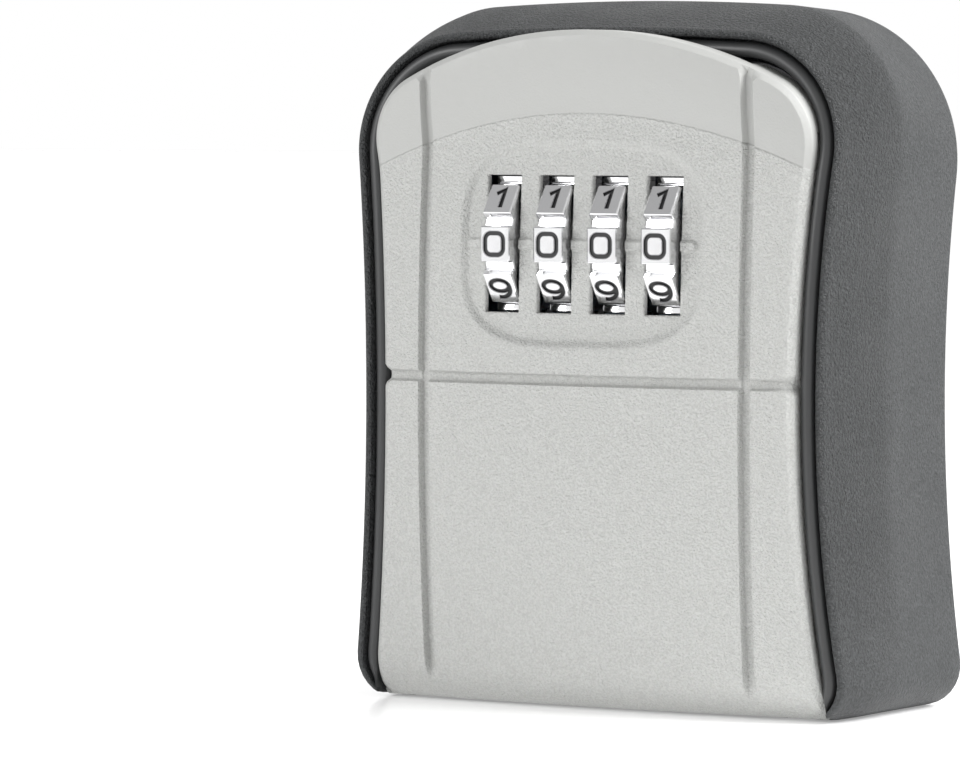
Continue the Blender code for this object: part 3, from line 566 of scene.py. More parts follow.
def housing_rings():
    """Rings from the back, up the flank and the slope, over the ridge and into the cavity."""
    back_round = 1.2 * MM
    rings = []
    for step in range(6):
        angle = math.radians(90 * step / 5)
        inset = back_round * (1 - math.sin(angle))
        points = housing_outline(inset, lift=-REAR_DROP, shoulder=REAR_SHOULDER)
        rings.append(ring_at(points, back_round * (1 - math.cos(angle))))
    for share in spread(0.15, 0.85, 5):
        inset = CREASE_INSET * share
        lift = (CREASE_INSET + REAR_DROP) * share - REAR_DROP
        shoulder = REAR_SHOULDER + (SHOULDER - REAR_SHOULDER) * share
        depth = back_round + (CREASE_DEPTH - back_round) * share
        rings.append(ring_at(housing_outline(inset, 0, lift, shoulder), depth))
    for share in spread(0, 1, 12):
        rings.append(slope_ring(share))
    return rings + ridge_rings() + channel_rings()


def slope_ring(share):
    """Ring on the sloped front of the flank, from its soft crease to the start of the ridge."""
    reach = RIDGE_INSET - 1.1 * MM - CREASE_INSET
    bulge = 0.5 * MM * math.sin(math.pi * share)
    inset = CREASE_INSET + reach * share - bulge
    lift = CREASE_INSET + (RIDGE_LIFT - CREASE_INSET) * share

    def depth(x, z):
        top = ridge_depth(z) - 1.3 * MM
        return CREASE_DEPTH + (top - CREASE_DEPTH) * share

    return ring_at(housing_outline(inset, 0, lift), depth)


def rim_ring(inset, drop):
    """Ring on the rim at an inset, so far below the ridge line."""
    return ring_at(housing_outline(inset, 0, RIDGE_LIFT), lambda x, z: ridge_depth(z) - drop)


def ridge_rings():
    """Rounded ridge: a quarter turn of about a millimetre."""
    radius = 1.1 * MM
    rings = []
    for step in range(1, 6):
        angle = math.radians(15 + 75 * step / 5)
        rings.append(rim_ring(RIDGE_INSET - radius * math.cos(angle), radius * (1 - math.sin(angle))))
    return rings


def channel_rings():
    """Inner wall of the ridge, the seal's channel, the lip and the cavity."""
    rings = [
        rim_ring(CHANNEL_INSET - 0.15 * MM, 0.15 * MM),
        rim_ring(CHANNEL_INSET, 0.5 * MM),
        rim_ring(CHANNEL_INSET, CHANNEL_DROP),
        rim_ring(LIP_INSET, CHANNEL_DROP),
        ring_at(housing_outline(LIP_INSET, 0, RIDGE_LIFT), LIP_DEPTH),
    ]
    cavity = (
        (-0.4 * MM, 0, LIP_DEPTH),
        (0, 0, LIP_DEPTH - 0.4 * MM),
        (0.8 * MM, 0, BACK_WALL + 1.5 * MM),
        (1.2 * MM, 0.4 * MM, BACK_WALL + 0.4 * MM),
        (2 * MM, 1 * MM, BACK_WALL),
    )
    for inset, rise, depth in cavity:
        rings.append(ring_at(cavity_outline(CAVITY_INSET + inset, BOTTOM_WALL + rise), depth))
    return rings


def build_housing(coat):
    housing = loft("housing_shell", housing_rings(), 32)
    reach = 39.9 * MM
    combine(housing, box("front_opening", (-reach, FRONT_SILL, -2 * MM), (reach, DEPTH, 9 * MM)))
    notches = []
    inner, outer = ARM_X[0] - 0.3 * MM, ARM_X[1] + 0.4 * MM
    back = HINGE_DEPTH - ARM_END - 0.5 * MM
    for side in (-1, 1):
        low, high = sorted((side * inner, side * outer))
        notches.append(box("arm_notch", (low, back, -1 * MM), (high, FRONT_SILL + 1 * MM, 5 * MM)))
    for x, z in wall_holes():
        profile = ((-1 * MM, HOLE_RADIUS), (5 * MM, HOLE_RADIUS))
        notches.append(turned("wall_hole", profile, at(x, 0, z), "y"))
    combine(housing, merge("small_cuts", notches))
    give(housing, coat)
    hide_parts("rear_housing")
    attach(housing, "housing")


def wall_holes():
    low, high = HOLE_CENTRE_Z - HOLE_REACH, HOLE_CENTRE_Z + HOLE_REACH
    return ((0, high), (-HOLE_REACH, HOLE_CENTRE_Z), (HOLE_REACH, HOLE_CENTRE_Z), (0, low))


def build_cavity_marks(coat):
    """Moulding marks on the back wall of the cavity: thin raised rings."""
    rings = []
    radius, wire = 4.7 * MM, 0.18 * MM
    for x in (-23.6 * MM, 23.6 * MM):
        for z in (20.5 * MM, 88.4 * MM):
            rings.append(torus("mark", at(x, BACK_WALL, z), radius, wire))
    for x in (-29 * MM, 29 * MM):
        for z in (18 * MM, 92 * MM):
            rings.append(torus("mark", at(x, BACK_WALL, z), 2.1 * MM, 0.12 * MM))
    marks = merge("cavity_marks", rings)
    marks.data.shade_smooth()
    give(marks, coat)
    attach(marks, "housing")


def torus(name, centre, radius, wire, sides=48, around=8):
    """Ring lying against the back wall."""
    bm = bmesh.new()
    rows = []
    for i in range(sides):
        angle = 2 * math.pi * i / sides
        out = Vector((math.cos(angle), 0, math.sin(angle)))
        row = []
        for k in range(around):
            turn = 2 * math.pi * k / around
            row.append(bm.verts.new(centre + out * (radius + wire * math.cos(turn))
                                    + Vector((0, -1, 0)) * wire * math.sin(turn)))
        rows.append(row)
    for i in range(sides):
        for k in range(around):
            j, m = (i + 1) % sides, (k + 1) % around
            bm.faces.new((rows[i][k], rows[j][k], rows[j][m], rows[i][m]))
    return finish_mesh(name, bm, 180)


def side_half(inset, z):
    centre = WAIST_HALF + SIDE_RADIUS
    return centre - math.sqrt((SIDE_RADIUS + inset) ** 2 - (z - WAIST_Z) ** 2)


def rim_path(inset, lowest, brink):
    """Open path of the rim, from foot over top to foot, kept outside the edge of the door."""
    path = []
    for x, z in housing_outline(inset, 0, RIDGE_LIFT):
        if z < lowest:
            continue
        if z < HEEL:
            least = side_half(brink, z) + 0.08 * (brink - inset)
            x = math.copysign(max(abs(x), least), x)
        path.append((x, z))
    return path


def build_rim_seal(bead):
    """Bead in the rim's channel: it narrows to a tip at each foot of the door."""
    inner = LIP_INSET - 0.1 * MM
    radius = 1.15 * MM
    middle = inner - radius
    base = CHANNEL_DROP - 0.3 * MM
    sections = [(inner - 2 * radius, base)]
    for step in range(13):
        angle = math.pi * step / 12
        sections.append((middle - radius * math.cos(angle), radius * (1.08 - math.sin(angle))))
    sections.append((inner, base))
    paths = [rim_path(inset, 1 * MM, inner) for inset, _ in sections]
    count = min(len(path) for path in paths)
    rings = []
    for i in range(count):
        ring = []
        for path, (_, drop) in zip(paths, sections):
            x, z = path[i] if i < count / 2 else path[len(path) - count + i]
            ring.append(at(x, ridge_depth(z) - drop, z))
        rings.append(ring)
    seal = loft("rim_bead", rings, 60)
    give(seal, bead)
    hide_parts("rim_seal")
    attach(seal, "housing")


def build_plugs(rubber):
    """Knurled rubber plugs with a cross in the crown."""
    names = ("hole_plug_top", "hole_plug_left", "hole_plug_right", "hole_plug_bottom")
    for (x, z), name in zip(wall_holes(), names):
        plug = knurled_plug(name + "_knurled", x, z)
        give(plug, rubber)
        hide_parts(name)
        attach(plug, "housing")


def knurled_plug(name, x, z):
    stem = HOLE_RADIUS - 0.3 * MM
    cap = 4.6 * MM
    face = BACK_WALL + 0.3 * MM
    teeth = 28
    profile = ((0.4 * MM, stem - 0.4 * MM), (0.8 * MM, stem), (face, stem), (face, cap),
               (face + 0.6 * MM, cap), (face + 0.9 * MM, cap - 0.25 * MM), (face + 1 * MM, cap - 0.7 * MM))
    rings = []
    for depth, radius in profile:
        ring = []
        for i in range(teeth * 4):
            angle = 2 * math.pi * i / (teeth * 4)
            knurl = 0.14 * MM if radius > stem and i % 4 in (2, 3) else 0
            ring.append(at(x + (radius - knurl) * math.cos(angle), depth, z + (radius - knurl) * math.sin(angle)))
        rings.append(ring)
    plug = loft(name, rings, 30)
    top = face + 1 * MM
    long, wide = 3.1 * MM, 0.35 * MM
    for reach_x, reach_z in ((long, wide), (wide, long)):
        combine(plug, box("cross", (x - reach_x, top - 0.45 * MM, z - reach_z),
                          (x + reach_x, top + 1 * MM, z + reach_z)))
    return plug


# ---------------------------------------------------------------- door


def wheel_x(index):
    return (index - (WHEEL_COUNT - 1) / 2) * WHEEL_PITCH


def groove(offset, shape):
    """Share of a groove's depth at an offset from its centre line."""
    half, wall, _ = shape
    return 1 - smooth((abs(offset) - (half - wall)) / wall)


def recess_radius(angle):
    """Reach of the soft oval in a direction from its centre."""
    c, s = abs(math.cos(angle)), abs(math.sin(angle))
    total = (c / RECESS_HALF[0]) ** RECESS_POWER + (s / RECESS_HALF[1]) ** RECESS_POWER
    return total ** (-1 / RECESS_POWER)


def door_height(x, z):
    """Depth of the finished face at a point: grooves, number panel, index bar, windows."""
    depth = face_depth(x, z)
    ends = smooth((z - GROOVE_FOOT) / (4 * MM)) * smooth((GROOVE_TOP - z) / (1 * MM))
    upright = groove(abs(x) - GROOVE_X, UPRIGHT_GROOVE) * UPRIGHT_GROOVE[2] * ends
    level = groove(z - GROOVE_Z, LEVEL_GROOVE) * LEVEL_GROOVE[2]
    depth -= max(upright, level)
    up = z - WHEEL_Z
    inside = recess_radius(math.atan2(up, x)) - math.hypot(x, up)
    if inside > 0:
        depth -= RECESS_CUT * smooth(inside / RECESS_WALL)
        nearest = min(max(x, INDEX_X[0]), INDEX_X[1])
        bar = INDEX_HALF - math.hypot(x - nearest, up)
        depth += INDEX_RISE * smooth(bar / INDEX_WALL)
        depth -= window_drop(x, up)
    return depth


def window_drop(x, up):
    """Small rounding along the edges of the windows."""
    drop = 0
    for index in range(WHEEL_COUNT):
        away_x = max(abs(x - wheel_x(index)) - WINDOW_HALF[0], 0)
        away_z = max(abs(up) - WINDOW_HALF[1], 0)
        away = math.hypot(away_x, away_z)
        if away < WINDOW_ROUND:
            short = WINDOW_ROUND - away
            drop = WINDOW_ROUND - math.sqrt(WINDOW_ROUND ** 2 - short ** 2)
    return drop


def notched(points):
    """Outline with the small round notch that the level groove leaves in each side."""
    result = []
    for x, z in points:
        away = (z - GROOVE_Z) / NOTCH_HALF
        cut = NOTCH_CUT * math.sqrt(1 - away * away) if abs(away) < 1 and abs(x) > 20 * MM else 0
        result.append((x - math.copysign(cut, x), z))
    return result


def feature_points():
    """Sample points of the face: an open grid plus dense rows along every pressed shape."""
    points = []
    step = 1.3 * MM
    for row in range(86):
        shift = step / 2 if row % 2 else 0
        points += [(-40 * MM + shift + column * step, row * step) for column in range(62)]
    points = [point for point in points if in_the_open(*point)]
    upright = [offset * MM for offset in UPRIGHT_ROWS]
    level = [offset * MM for offset in LEVEL_ROWS]
    near = 1.3 * MM
    for centre in (-GROOVE_X, GROOVE_X):
        for offset in upright:
            x = centre + offset
            points += [(x, i * 0.8 * MM) for i in range(138) if abs(i * 0.8 * MM - GROOVE_Z) > near]
            points += [(x, GROOVE_Z + up) for up in level]
    for i in range(98):
        x = -39 * MM + i * 0.8 * MM
        if abs(abs(x) - GROOVE_X) > near:
            points += [(x, GROOVE_Z + up) for up in level]
            points += [(x, flare_crease(x) + up * MM) for up in (-2.4, -1.4, -0.7, 0, 0.7, 1.4, 2.4)]
    for inside in (-0.3, 0, 0.25, 0.5, 0.75, 1, 1.25, 1.5, 1.75, 2):
        for i in range(150):
            angle = 2 * math.pi * i / 150
            reach = recess_radius(angle) - inside * MM
            points.append((reach * math.cos(angle), WHEEL_Z + reach * math.sin(angle)))
    return points + index_points() + window_points()


def in_the_open(x, z):
    """True away from the grooves, the flare's crease and the edge of the number panel."""
    up = z - WHEEL_Z
    panel = recess_radius(math.atan2(up, x)) - math.hypot(x, up)
    clear = 1.7 * MM
    return (abs(abs(x) - GROOVE_X) > clear and abs(z - GROOVE_Z) > clear and not -0.6 * MM < panel < 2.3 * MM
            and abs(z - flare_crease(x)) > 2.8 * MM and not (panel > 0 and abs(up) < 1.6 * MM))


def index_points():
    points = []
    for inside in (0, 0.15, 0.3, 0.45):
        reach = INDEX_HALF - inside * MM
        for i in range(130):
            x = INDEX_X[0] + (INDEX_X[1] - INDEX_X[0]) * i / 129
            points += [(x, WHEEL_Z - reach), (x, WHEEL_Z + reach)]
        for end, start in ((INDEX_X[1], -90), (INDEX_X[0], 90)):
            points += arc((end, WHEEL_Z), reach, math.radians(start), math.radians(start + 180), 12)
    return points


def window_points():
    points = []
    for index in range(WHEEL_COUNT):
        for offset in (0, 0.06, 0.13, 0.22, 0.5):
            half_x, half_z = WINDOW_HALF[0] + offset * MM, WINDOW_HALF[1] + offset * MM
            for side in (-1, 1):
                points += [(wheel_x(index) + side * half_x, WHEEL_Z + up) for up in spread(-half_z, half_z, 36)]
                points += [(wheel_x(index) + across, WHEEL_Z + side * half_z) for across in spread(-half_x, half_x, 12)]
    return points


def keep_inside(points, ring):
    """The points that lie inside a closed ring, by counting crossings."""
    pts = np.array(points)
    inside = np.zeros(len(pts), dtype=bool)
    for (x1, z1), (x2, z2) in zip(ring, ring[1:] + ring[:1]):
        if z1 == z2:
            continue
        crosses = (z1 > pts[:, 1]) != (z2 > pts[:, 1])
        reach = (x2 - x1) * (pts[:, 1] - z1) / (z2 - z1) + x1
        inside ^= crosses & (pts[:, 0] < reach)
    return [tuple(point) for point in pts[inside]]


def build_door_skin():
    """Front of the door with its chamfered edge, closed at the back."""
    bm = bmesh.new()
    brim = notched(door_outline(EDGE_ROUND))
    inner = keep_inside(feature_points(), notched(door_outline(EDGE_ROUND + 0.25 * MM)))
    flat = [Vector(point) for point in brim + inner]
    edges = [(i, (i + 1) % len(brim)) for i in range(len(brim))]
    spots, _, faces, _, _, _ = delaunay_2d_cdt(flat, edges, [], 1, 1e-8)
    verts = [bm.verts.new(at(p.x, door_height(p.x, p.y), p.y)) for p in spots]
    for face in faces:
        bm.faces.new([verts[i] for i in face])
    rings = [ring_at(brim, door_height)]
    for inset, drop in EDGE_STEPS:
        points = notched(door_outline(inset))
        rings.append(ring_at(points, lambda x, z: max(door_height(x, z) - drop, DOOR_BACK + 0.2 * MM)))
    side = door_outline(0)
    tucked = [min(pair, key=lambda point: point[1])
              for pair in zip(side, cavity_outline(DOOR_INSET + 0.1 * MM, DOOR_BOTTOM))]

    def under_lip(x, z):
        return max(min(LIP_OVERHANG_DEPTH, face_depth(x, z) - 2.2 * MM), DOOR_BACK + 0.1 * MM)

    rings.append(ring_at(side, under_lip))
    rings.append(ring_at(tucked, under_lip))
    rings.append(ring_at(tucked, DOOR_BACK))
    loops = loft_into(bm, rings, closed=False)
    bm.faces.new(loops[-1])
    bmesh.ops.remove_doubles(bm, verts=bm.verts, dist=1e-6)
    return finish_mesh("door_front", bm, 32)


def plate_with_face(name, half, low, high, back, offset):
    """Block whose front follows the door's face, set back by an offset."""
    xs, zs = spread(-half, half, 9), spread(low, high, 12)
    bm = bmesh.new()
    front = [[bm.verts.new(at(x, face_depth(x, z) - offset, z)) for x in xs] for z in zs]
    rear = [[bm.verts.new(at(x, back, z)) for x in xs] for z in zs]
    for grid in (front, rear):
        for i in range(len(zs) - 1):
            for j in range(len(xs) - 1):
                bm.faces.new((grid[i][j], grid[i][j + 1], grid[i + 1][j + 1], grid[i + 1][j]))
    for i in range(len(zs) - 1):
        for j in (0, len(xs) - 1):
            bm.faces.new((front[i][j], front[i + 1][j], rear[i + 1][j], rear[i][j]))
    for j in range(len(xs) - 1):
        for i in (0, len(zs) - 1):
            bm.faces.new((front[i][j], front[i][j + 1], rear[i][j + 1], rear[i][j]))
    return finish_mesh(name, bm)


def flange():
    """Rectangular flange that the lock case seats on."""
    def rectangle(half, low, high):
        return [(-half, low), (half, low), (half, high), (-half, high)]

    outer = rectangle(FLANGE_HALF, FLANGE_BOTTOM, FLANGE_TOP)
    inner = rectangle(FLANGE_HALF - FLANGE_WALL, FLANGE_BOTTOM + FLANGE_WALL, FLANGE_TOP - FLANGE_WALL)
    near, far = FLANGE_BACK, DOOR_BACK + 1 * MM
    bm = bmesh.new()
    loops = []
    for points, depth in ((outer, near), (outer, far), (inner, far), (inner, near)):
        loops.append([bm.verts.new(at(x, depth, z)) for x, z in points])
    for k in range(4):
        for i in range(4):
            j = (i + 1) % 4
            bm.faces.new((loops[k][i], loops[k][j], loops[(k + 1) % 4][j], loops[(k + 1) % 4][i]))
    return finish_mesh("flange", bm)


def hinge_arm(side):
    centre = (HINGE_DEPTH, HINGE_Z)
    shape = arc(centre, ARM_END, math.radians(115), math.radians(270), 20)
    shape += [(DOOR_BACK + 0.6 * MM, 2.5 * MM), (DOOR_BACK + 0.6 * MM, 17 * MM), (28.5 * MM, 15 * MM)]
    return loft("arm", [[at(side * x, depth, z) for depth, z in shape] for x in ARM_X])


def build_door(paint):
    door = build_door_skin()
    pockets = [plate_with_face("pocket", 29.5 * MM, FLANGE_BOTTOM + 2.5 * MM, FLANGE_TOP - 2.5 * MM,
                               DOOR_BACK - 8 * MM, DOOR_WALL + 0.9 * MM),
               plate_with_face("pocket", 31.5 * MM, 6 * MM, 46.5 * MM, DOOR_BACK - 8 * MM, DOOR_WALL + 0.9 * MM)]
    combine(door, merge("pockets", pockets))
    combine(door, plate_with_face("relief", RELIEF_HALF, WHEEL_Z - RELIEF_RISE, WHEEL_Z + RELIEF_RISE,
                                  DOOR_BACK, RECESS_CUT + RELIEF_WALL))
    windows = []
    for index in range(WHEEL_COUNT):
        x = wheel_x(index)
        windows.append(box("window", (x - WINDOW_HALF[0], 30 * MM, WHEEL_Z - WINDOW_HALF[1]),
                           (x + WINDOW_HALF[0], 50 * MM, WHEEL_Z + WINDOW_HALF[1])))
    combine(door, merge("windows", windows))
    added = [flange()]
    for side in (-1, 1):
        added.append(hinge_arm(side))
        x, z = side * CASE_SCREW[0], CASE_SCREW[1]
        profile = ((FLANGE_BACK + 0.2 * MM, BOSS_RADIUS), (BOSS_END, BOSS_RADIUS))
        added.append(turned("boss", profile, at(x, 0, z), "y"))
    combine(door, merge("added", added), "UNION")
    holes = []
    for side in (-1, 1):
        for (x, z), radius in ((CASE_SCREW, 1.7 * MM), (EAR_SCREW, 1.3 * MM)):
            holes.append(turned("hole", ((25 * MM, radius), (33 * MM, radius)), at(side * x, 0, z), "y"))
        bore = HINGE_PIN_RADIUS + 0.3 * MM
        ends = ((side * (ARM_X[0] - 1 * MM), bore), (side * (ARM_X[1] + 1 * MM), bore))
        holes.append(turned("bore", ends, at(0, HINGE_DEPTH, HINGE_Z), "x"))
    combine(door, merge("holes", holes))
    give(door, paint)
    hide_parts("door_panel")
    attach(door, "door")


# ---------------------------------------------------------------- number wheels


def wheel_section():
    """Side view of a wheel as (forward, up): flat pads, small bevels, flat-bottomed notches."""
    side_points = ((PAD_HALF, WHEEL_FACE), (PAD_HALF + 0.14 * MM, WHEEL_FACE - 0.12 * MM),
                   (PAD_HALF + 0.3 * MM, WHEEL_FACE - 0.95 * MM))
    ring = []
    for k in range(DIGITS):
        turn = 2 * math.pi * k / DIGITS
        shape = [(-across, up) for across, up in reversed(side_points)] + list(side_points)
        for across, up in shape:
            ring.append((up * math.cos(turn) - across * math.sin(turn), up * math.sin(turn) + across * math.cos(turn)))
        valley = 2 * math.pi * (k + 0.5) / DIGITS
        floor, wide = WHEEL_FACE - 1.15 * MM, 0.9 * MM
        for across in (-wide, wide):
            ring.append((floor * math.cos(valley) - across * math.sin(valley),
                         floor * math.sin(valley) + across * math.cos(valley)))
    return ring


def bend(centre, reach, start, end, steps=10):
    """Part of an ellipse as (x, y) points, angles in degrees."""
    points = []
    for i in range(steps + 1):
        angle = math.radians(start + (end - start) * i / steps)
        points.append((centre[0] + reach[0] * math.cos(angle), centre[1] + reach[1] * math.sin(angle)))
    return points


def digit_strokes(digit):
    """Centre lines of a digit in a box of two by two units; True marks a closed loop."""
    six = bend((0.15, -0.1), (1.15, 1.1), 75, 180, 8) + bend((0, -0.35), (1, 0.65), 180, 540, 24)
    shapes = {
        0: [(bend((0.35, 0.4), (0.65, 0.6), 0, 90, 6) + bend((-0.35, 0.4), (0.65, 0.6), 90, 180, 6)
             + bend((-0.35, -0.4), (0.65, 0.6), 180, 270, 6) + bend((0.35, -0.4), (0.65, 0.6), 270, 360, 6), True)],
        1: [([(-0.6, 0.55), (0.2, 1), (0.2, -1)], False)],
        2: [(bend((0, 0.45), (0.9, 0.55), 165, -35, 12) + [(-0.9, -1), (0.95, -1)], False)],
        3: [(bend((-0.05, 0.5), (0.8, 0.5), 150, -85, 12), False),
            (bend((-0.05, -0.48), (0.95, 0.52), 85, -150, 12), False)],
        4: [([(0.45, -1), (0.45, 1), (-0.95, -0.4), (1, -0.4)], False)],
        5: [([(0.8, 1), (-0.75, 1), (-0.85, 0.15)] + bend((0, -0.35), (0.95, 0.65), 125, -150, 14), False)],
        6: [(six, False)],
        7: [([(-0.9, 1), (0.9, 1), (-0.25, -1)], False)],
        8: [(bend((0, 0.5), (0.8, 0.5), 0, 342, 19), True),
            (bend((0, -0.48), (0.95, 0.52), 0, 342, 19), True)],
        9: [([(-x, -y) for x, y in six], False)],
    }
    return shapes[digit]


def ribbon(points, width, closed):
    """Left and right edges of a stroke of even width."""
    left, right = [], []
    count = len(points)
    for i, point in enumerate(points):
        before = points[(i - 1) % count] if closed or i > 0 else point
        after = points[(i + 1) % count] if closed or i < count - 1 else point
        into = (Vector(point) - Vector(before)).normalized() if point != before else None
        out = (Vector(after) - Vector(point)).normalized() if point != after else None
        into, out = into or out, out or into
        normal = Vector((-(into.y + out.y), into.x + out.x)).normalized()
        spread_by = min(1 / max(normal.dot(Vector((-into.y, into.x))), 0.3), 1.6)
        left.append(Vector(point) + normal * (width / 2 * spread_by))
        right.append(Vector(point) - normal * (width / 2 * spread_by))
    return left, right


def stroke_area(strokes, width):
    """Triangles that cover a set of strokes once, however the strokes overlap, in millimetres."""
    spots, quads = [], []
    for points, closed in strokes:
        left, right = ribbon(points, width, closed)
        count = len(points)
        first = len(spots)
        spots += left + right
        for i in range(count if closed else count - 1):
            j = (i + 1) % count
            quad = [first + i, first + j, first + count + j, first + count + i]
            turn = (spots[quad[1]] - spots[quad[0]]).cross(spots[quad[2]] - spots[quad[0]])
            quads.append(quad if turn > 0 else quad[::-1])
    points, _, faces, _, _, sources = delaunay_2d_cdt(spots, [], quads, 1, 1e-4)
    return points, [face for face, source in zip(faces, sources) if source]


def digit_tool(digit, width, sink, rise):
    """Prism of one digit, standing on its own pad of a wheel at the origin."""
    strokes = [([(x * DIGIT_HALF[0], y * DIGIT_HALF[1]) for x, y in points], closed)
               for points, closed in digit_strokes(digit)]
    points, faces = stroke_area(strokes, width)
    bm = bmesh.new()
    low, high = ([bm.verts.new((p.x * MM, -(WHEEL_FACE + lift), p.y * MM)) for p in points] for lift in (-sink, rise))
    edges = {}
    for face in faces:
        bm.faces.new([low[i] for i in face])
        bm.faces.new([high[i] for i in face])
        for i, j in zip(face, face[1:] + face[:1]):
            key = (min(i, j), max(i, j))
            edges[key] = edges.get(key, 0) + 1
    for (i, j), uses in edges.items():
        if uses == 1:
            bm.faces.new((low[i], low[j], high[j], high[i]))
    turn = Matrix.Rotation(-2 * math.pi * digit / DIGITS, 3, "X")
    bmesh.ops.rotate(bm, verts=bm.verts, cent=(0, 0, 0), matrix=turn)
    return finish_mesh("digit", bm)


def wheel_blank(chrome):
    half = WHEEL_WIDTH / 2
    section = wheel_section()
    rings = []
    for x, scale in ((-half, 0.962), (-half + 0.12 * MM, 0.985), (-half + 0.35 * MM, 1), (half - 0.35 * MM, 1),
                     (half - 0.12 * MM, 0.985), (half, 0.962)):
        rings.append([Vector((x, -a * scale, b * scale)) for a, b in section])
    wheel = loft("wheel_blank", rings, 20)
    give(wheel, chrome)
    combine(wheel, turned("bore", ((-4 * MM, SLEEVE_BORE), (4 * MM, SLEEVE_BORE)), Vector((0, 0, 0)), "x"))
    return wheel


def build_wheels(chrome, rim, ink):
    """Four wheels from one engraved mesh."""
    first = wheel_blank(chrome)
    for width, sink, material in ((0.92, 0.06 * MM, rim), (0.66, 0.3 * MM, ink)):
        tool = merge("digits", [digit_tool(digit, width, sink, 0.3 * MM) for digit in range(DIGITS)])
        give(tool, material)
        combine(first, tool, keep_colour=True)
    for index in range(WHEEL_COUNT):
        mesh = first.data.copy()
        wheel = bpy.data.objects.new("wheel_%d_engraved" % (index + 1), mesh)
        bpy.context.scene.collection.objects.link(wheel)
        wheel.location = at(wheel_x(index), WHEEL_DEPTH, WHEEL_Z)
        mesh.set_sharp_from_angle(angle=math.radians(20))
        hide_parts("number_wheel_%d" % (index + 1))
        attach(wheel, "wheel_%d" % (index + 1))
    bpy.data.objects.remove(first, do_unlink=True)


# ---------------------------------------------------------------- carried-over pieces


def dress_cad(finishes):
    """Give every carried-over piece its finish, and soft edges to the case, strike plate, bolt and levers."""
    replaced = ("rear_housing", "rim_seal", "door_panel", "number_wheel", "hole_plug")
    slots = {entry["node"]: entry["material_slot"] for entry in frame["record"]["subparts"]}
    rounds = {
        "lock_case": 0.35,
        "strike_plate": 0.3,
        "latch_bolt": 0.3,
        "reset_lever": 0.2,
        "locking_bar": 0.2,
    }
    for name, item in frame["nodes"].items():
        if name.startswith(replaced):
            continue
        give(item, finishes[slots[name]])
        if name in rounds:
            soften(item, rounds[name] * MM)


# ---------------------------------------------------------------- studio


def build_floor():
    finish = Finish("studio_floor", (1, 1, 1), 0.2)
    finish.shader.inputs["Emission Color"].default_value = (1, 1, 1, 1)
    finish.shader.inputs["Emission Strength"].default_value = 0.3
    bm = bmesh.new()
    bmesh.ops.create_grid(bm, x_segments=4, y_segments=4, size=6)
    floor = finish_mesh("studio_floor", bm)
    give(floor, finish.material)


def soft_light(name, place, aim, size, energy):
    lamp = bpy.data.lights.new(name, "AREA")
    lamp.shape = "RECTANGLE"
    lamp.size, lamp.size_y = size
    lamp.energy = energy
    item = bpy.data.objects.new(name, lamp)
    bpy.context.scene.collection.objects.link(item)
    item.location = place
    item.rotation_euler = (Vector(aim) - Vector(place)).to_track_quat("-Z", "Y").to_euler()


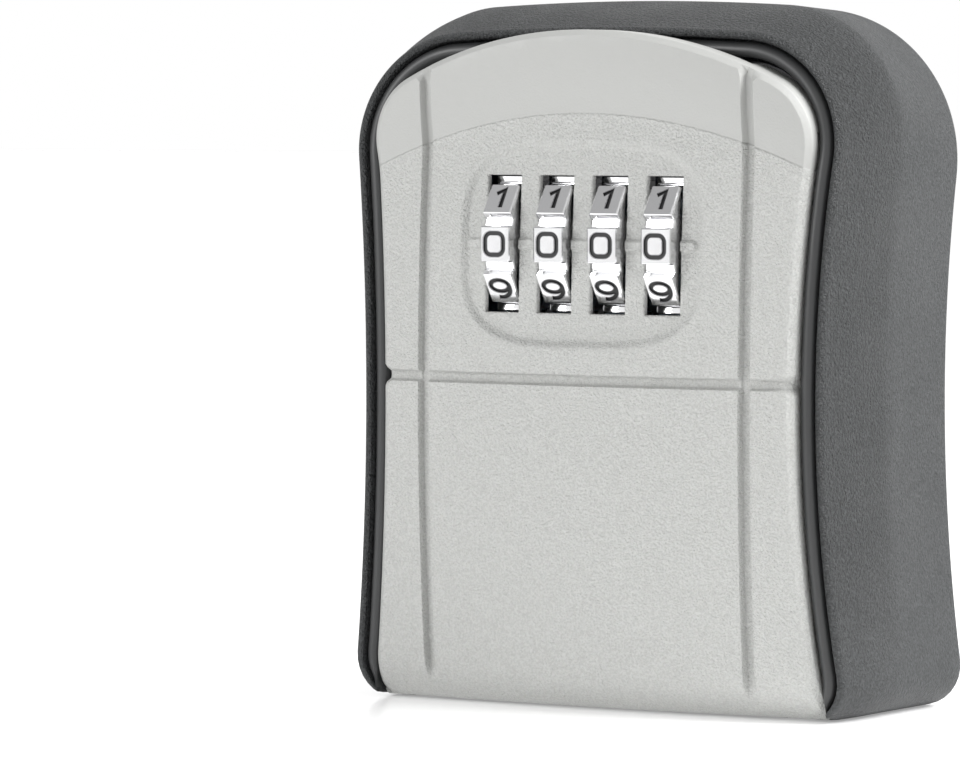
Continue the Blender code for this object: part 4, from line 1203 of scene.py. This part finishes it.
def build_lights():
    world = bpy.data.worlds.new("studio")
    world.use_nodes = True
    tree = world.node_tree
    sky = tree.nodes["Background"]
    path = tree.nodes.new("ShaderNodeLightPath")
    place = tree.nodes.new("ShaderNodeTexCoord")
    split = tree.nodes.new("ShaderNodeSeparateXYZ")
    tree.links.new(place.outputs["Generated"], split.inputs[0])
    fall = tree.nodes.new("ShaderNodeMapRange")
    for socket, number in (("From Min", 0.6), ("From Max", 0.87), ("To Min", 1.0), ("To Max", 0.4)):
        fall.inputs[socket].default_value = number
    tree.links.new(split.outputs["Z"], fall.inputs["Value"])
    mirrored = tree.nodes.new("ShaderNodeMix")
    mirrored.inputs["A"].default_value = 0.38
    tree.links.new(path.outputs["Is Glossy Ray"], mirrored.inputs["Factor"])
    tree.links.new(fall.outputs["Result"], mirrored.inputs["B"])
    level = tree.nodes.new("ShaderNodeMix")
    level.inputs["B"].default_value = 1.0
    tree.links.new(path.outputs["Is Camera Ray"], level.inputs["Factor"])
    tree.links.new(mirrored.outputs["Result"], level.inputs["A"])
    tree.links.new(level.outputs["Result"], sky.inputs["Strength"])
    sky.inputs["Color"].default_value = (1, 1, 1, 1)
    bpy.context.scene.world = world
    middle = (0, 0, 0.057)
    soft_light("key_left", (-0.55, -0.75, 0.45), middle, (0.4, 0.5), 4.6)
    soft_light("rim_right", (0.5, 0.1, 0.5), middle, (0.3, 0.4), 7)
    bpy.context.scene.view_settings.view_transform = "Standard"


def build_camera():
    """Camera at the photograph's angle, turned so that the box stands right of the middle."""
    azimuth, elevation = math.radians(26.71), math.radians(2.76)
    distance = 0.87097
    target = Vector((0, 0.00075, 0.057))
    away = Vector((math.sin(azimuth) * math.cos(elevation), -math.cos(azimuth) * math.cos(elevation),
                   math.sin(elevation)))
    right = Vector((math.cos(azimuth), math.sin(azimuth), 0))
    up = away.cross(right)
    aim = target - right * 0.02481 - up * 0.007
    data = bpy.data.cameras.new("camera")
    data.lens = 204.6
    camera = bpy.data.objects.new("camera", data)
    bpy.context.scene.collection.objects.link(camera)
    camera.location = target + away * distance
    camera.rotation_euler = (aim - camera.location).to_track_quat("-Z", "Y").to_euler()
    bpy.context.scene.camera = camera


def main():
    coat = coat_finish()
    rubber = satin_finish("seal_rubber", (0.03, 0.031, 0.032))
    bead = satin_finish("rim_bead", (0.035, 0.036, 0.037))
    paint = door_finish()
    chrome = chrome_finish("chrome", (0.82, 0.82, 0.83), 0.13)
    rim = chrome_finish("digit_rim", (0.45, 0.45, 0.46), 0.25)
    finishes = {
        "charcoal_coat": coat,
        "black_rubber": rubber,
        "warm_grey_paint": paint,
        "pale_blue_plastic": case_finish(),
        "chrome": chrome,
        "steel": brushed_finish(),
        "brass": chrome_finish("brass", (0.72, 0.58, 0.32), 0.24),
        "white_plastic": white_finish(),
    }
    build_housing(coat)
    build_cavity_marks(coat)
    build_rim_seal(bead)
    build_plugs(rubber)
    build_door(paint)
    build_wheels(chrome, rim, ink_finish())
    dress_cad(finishes)
    build_floor()
    build_lights()
    build_camera()


main()
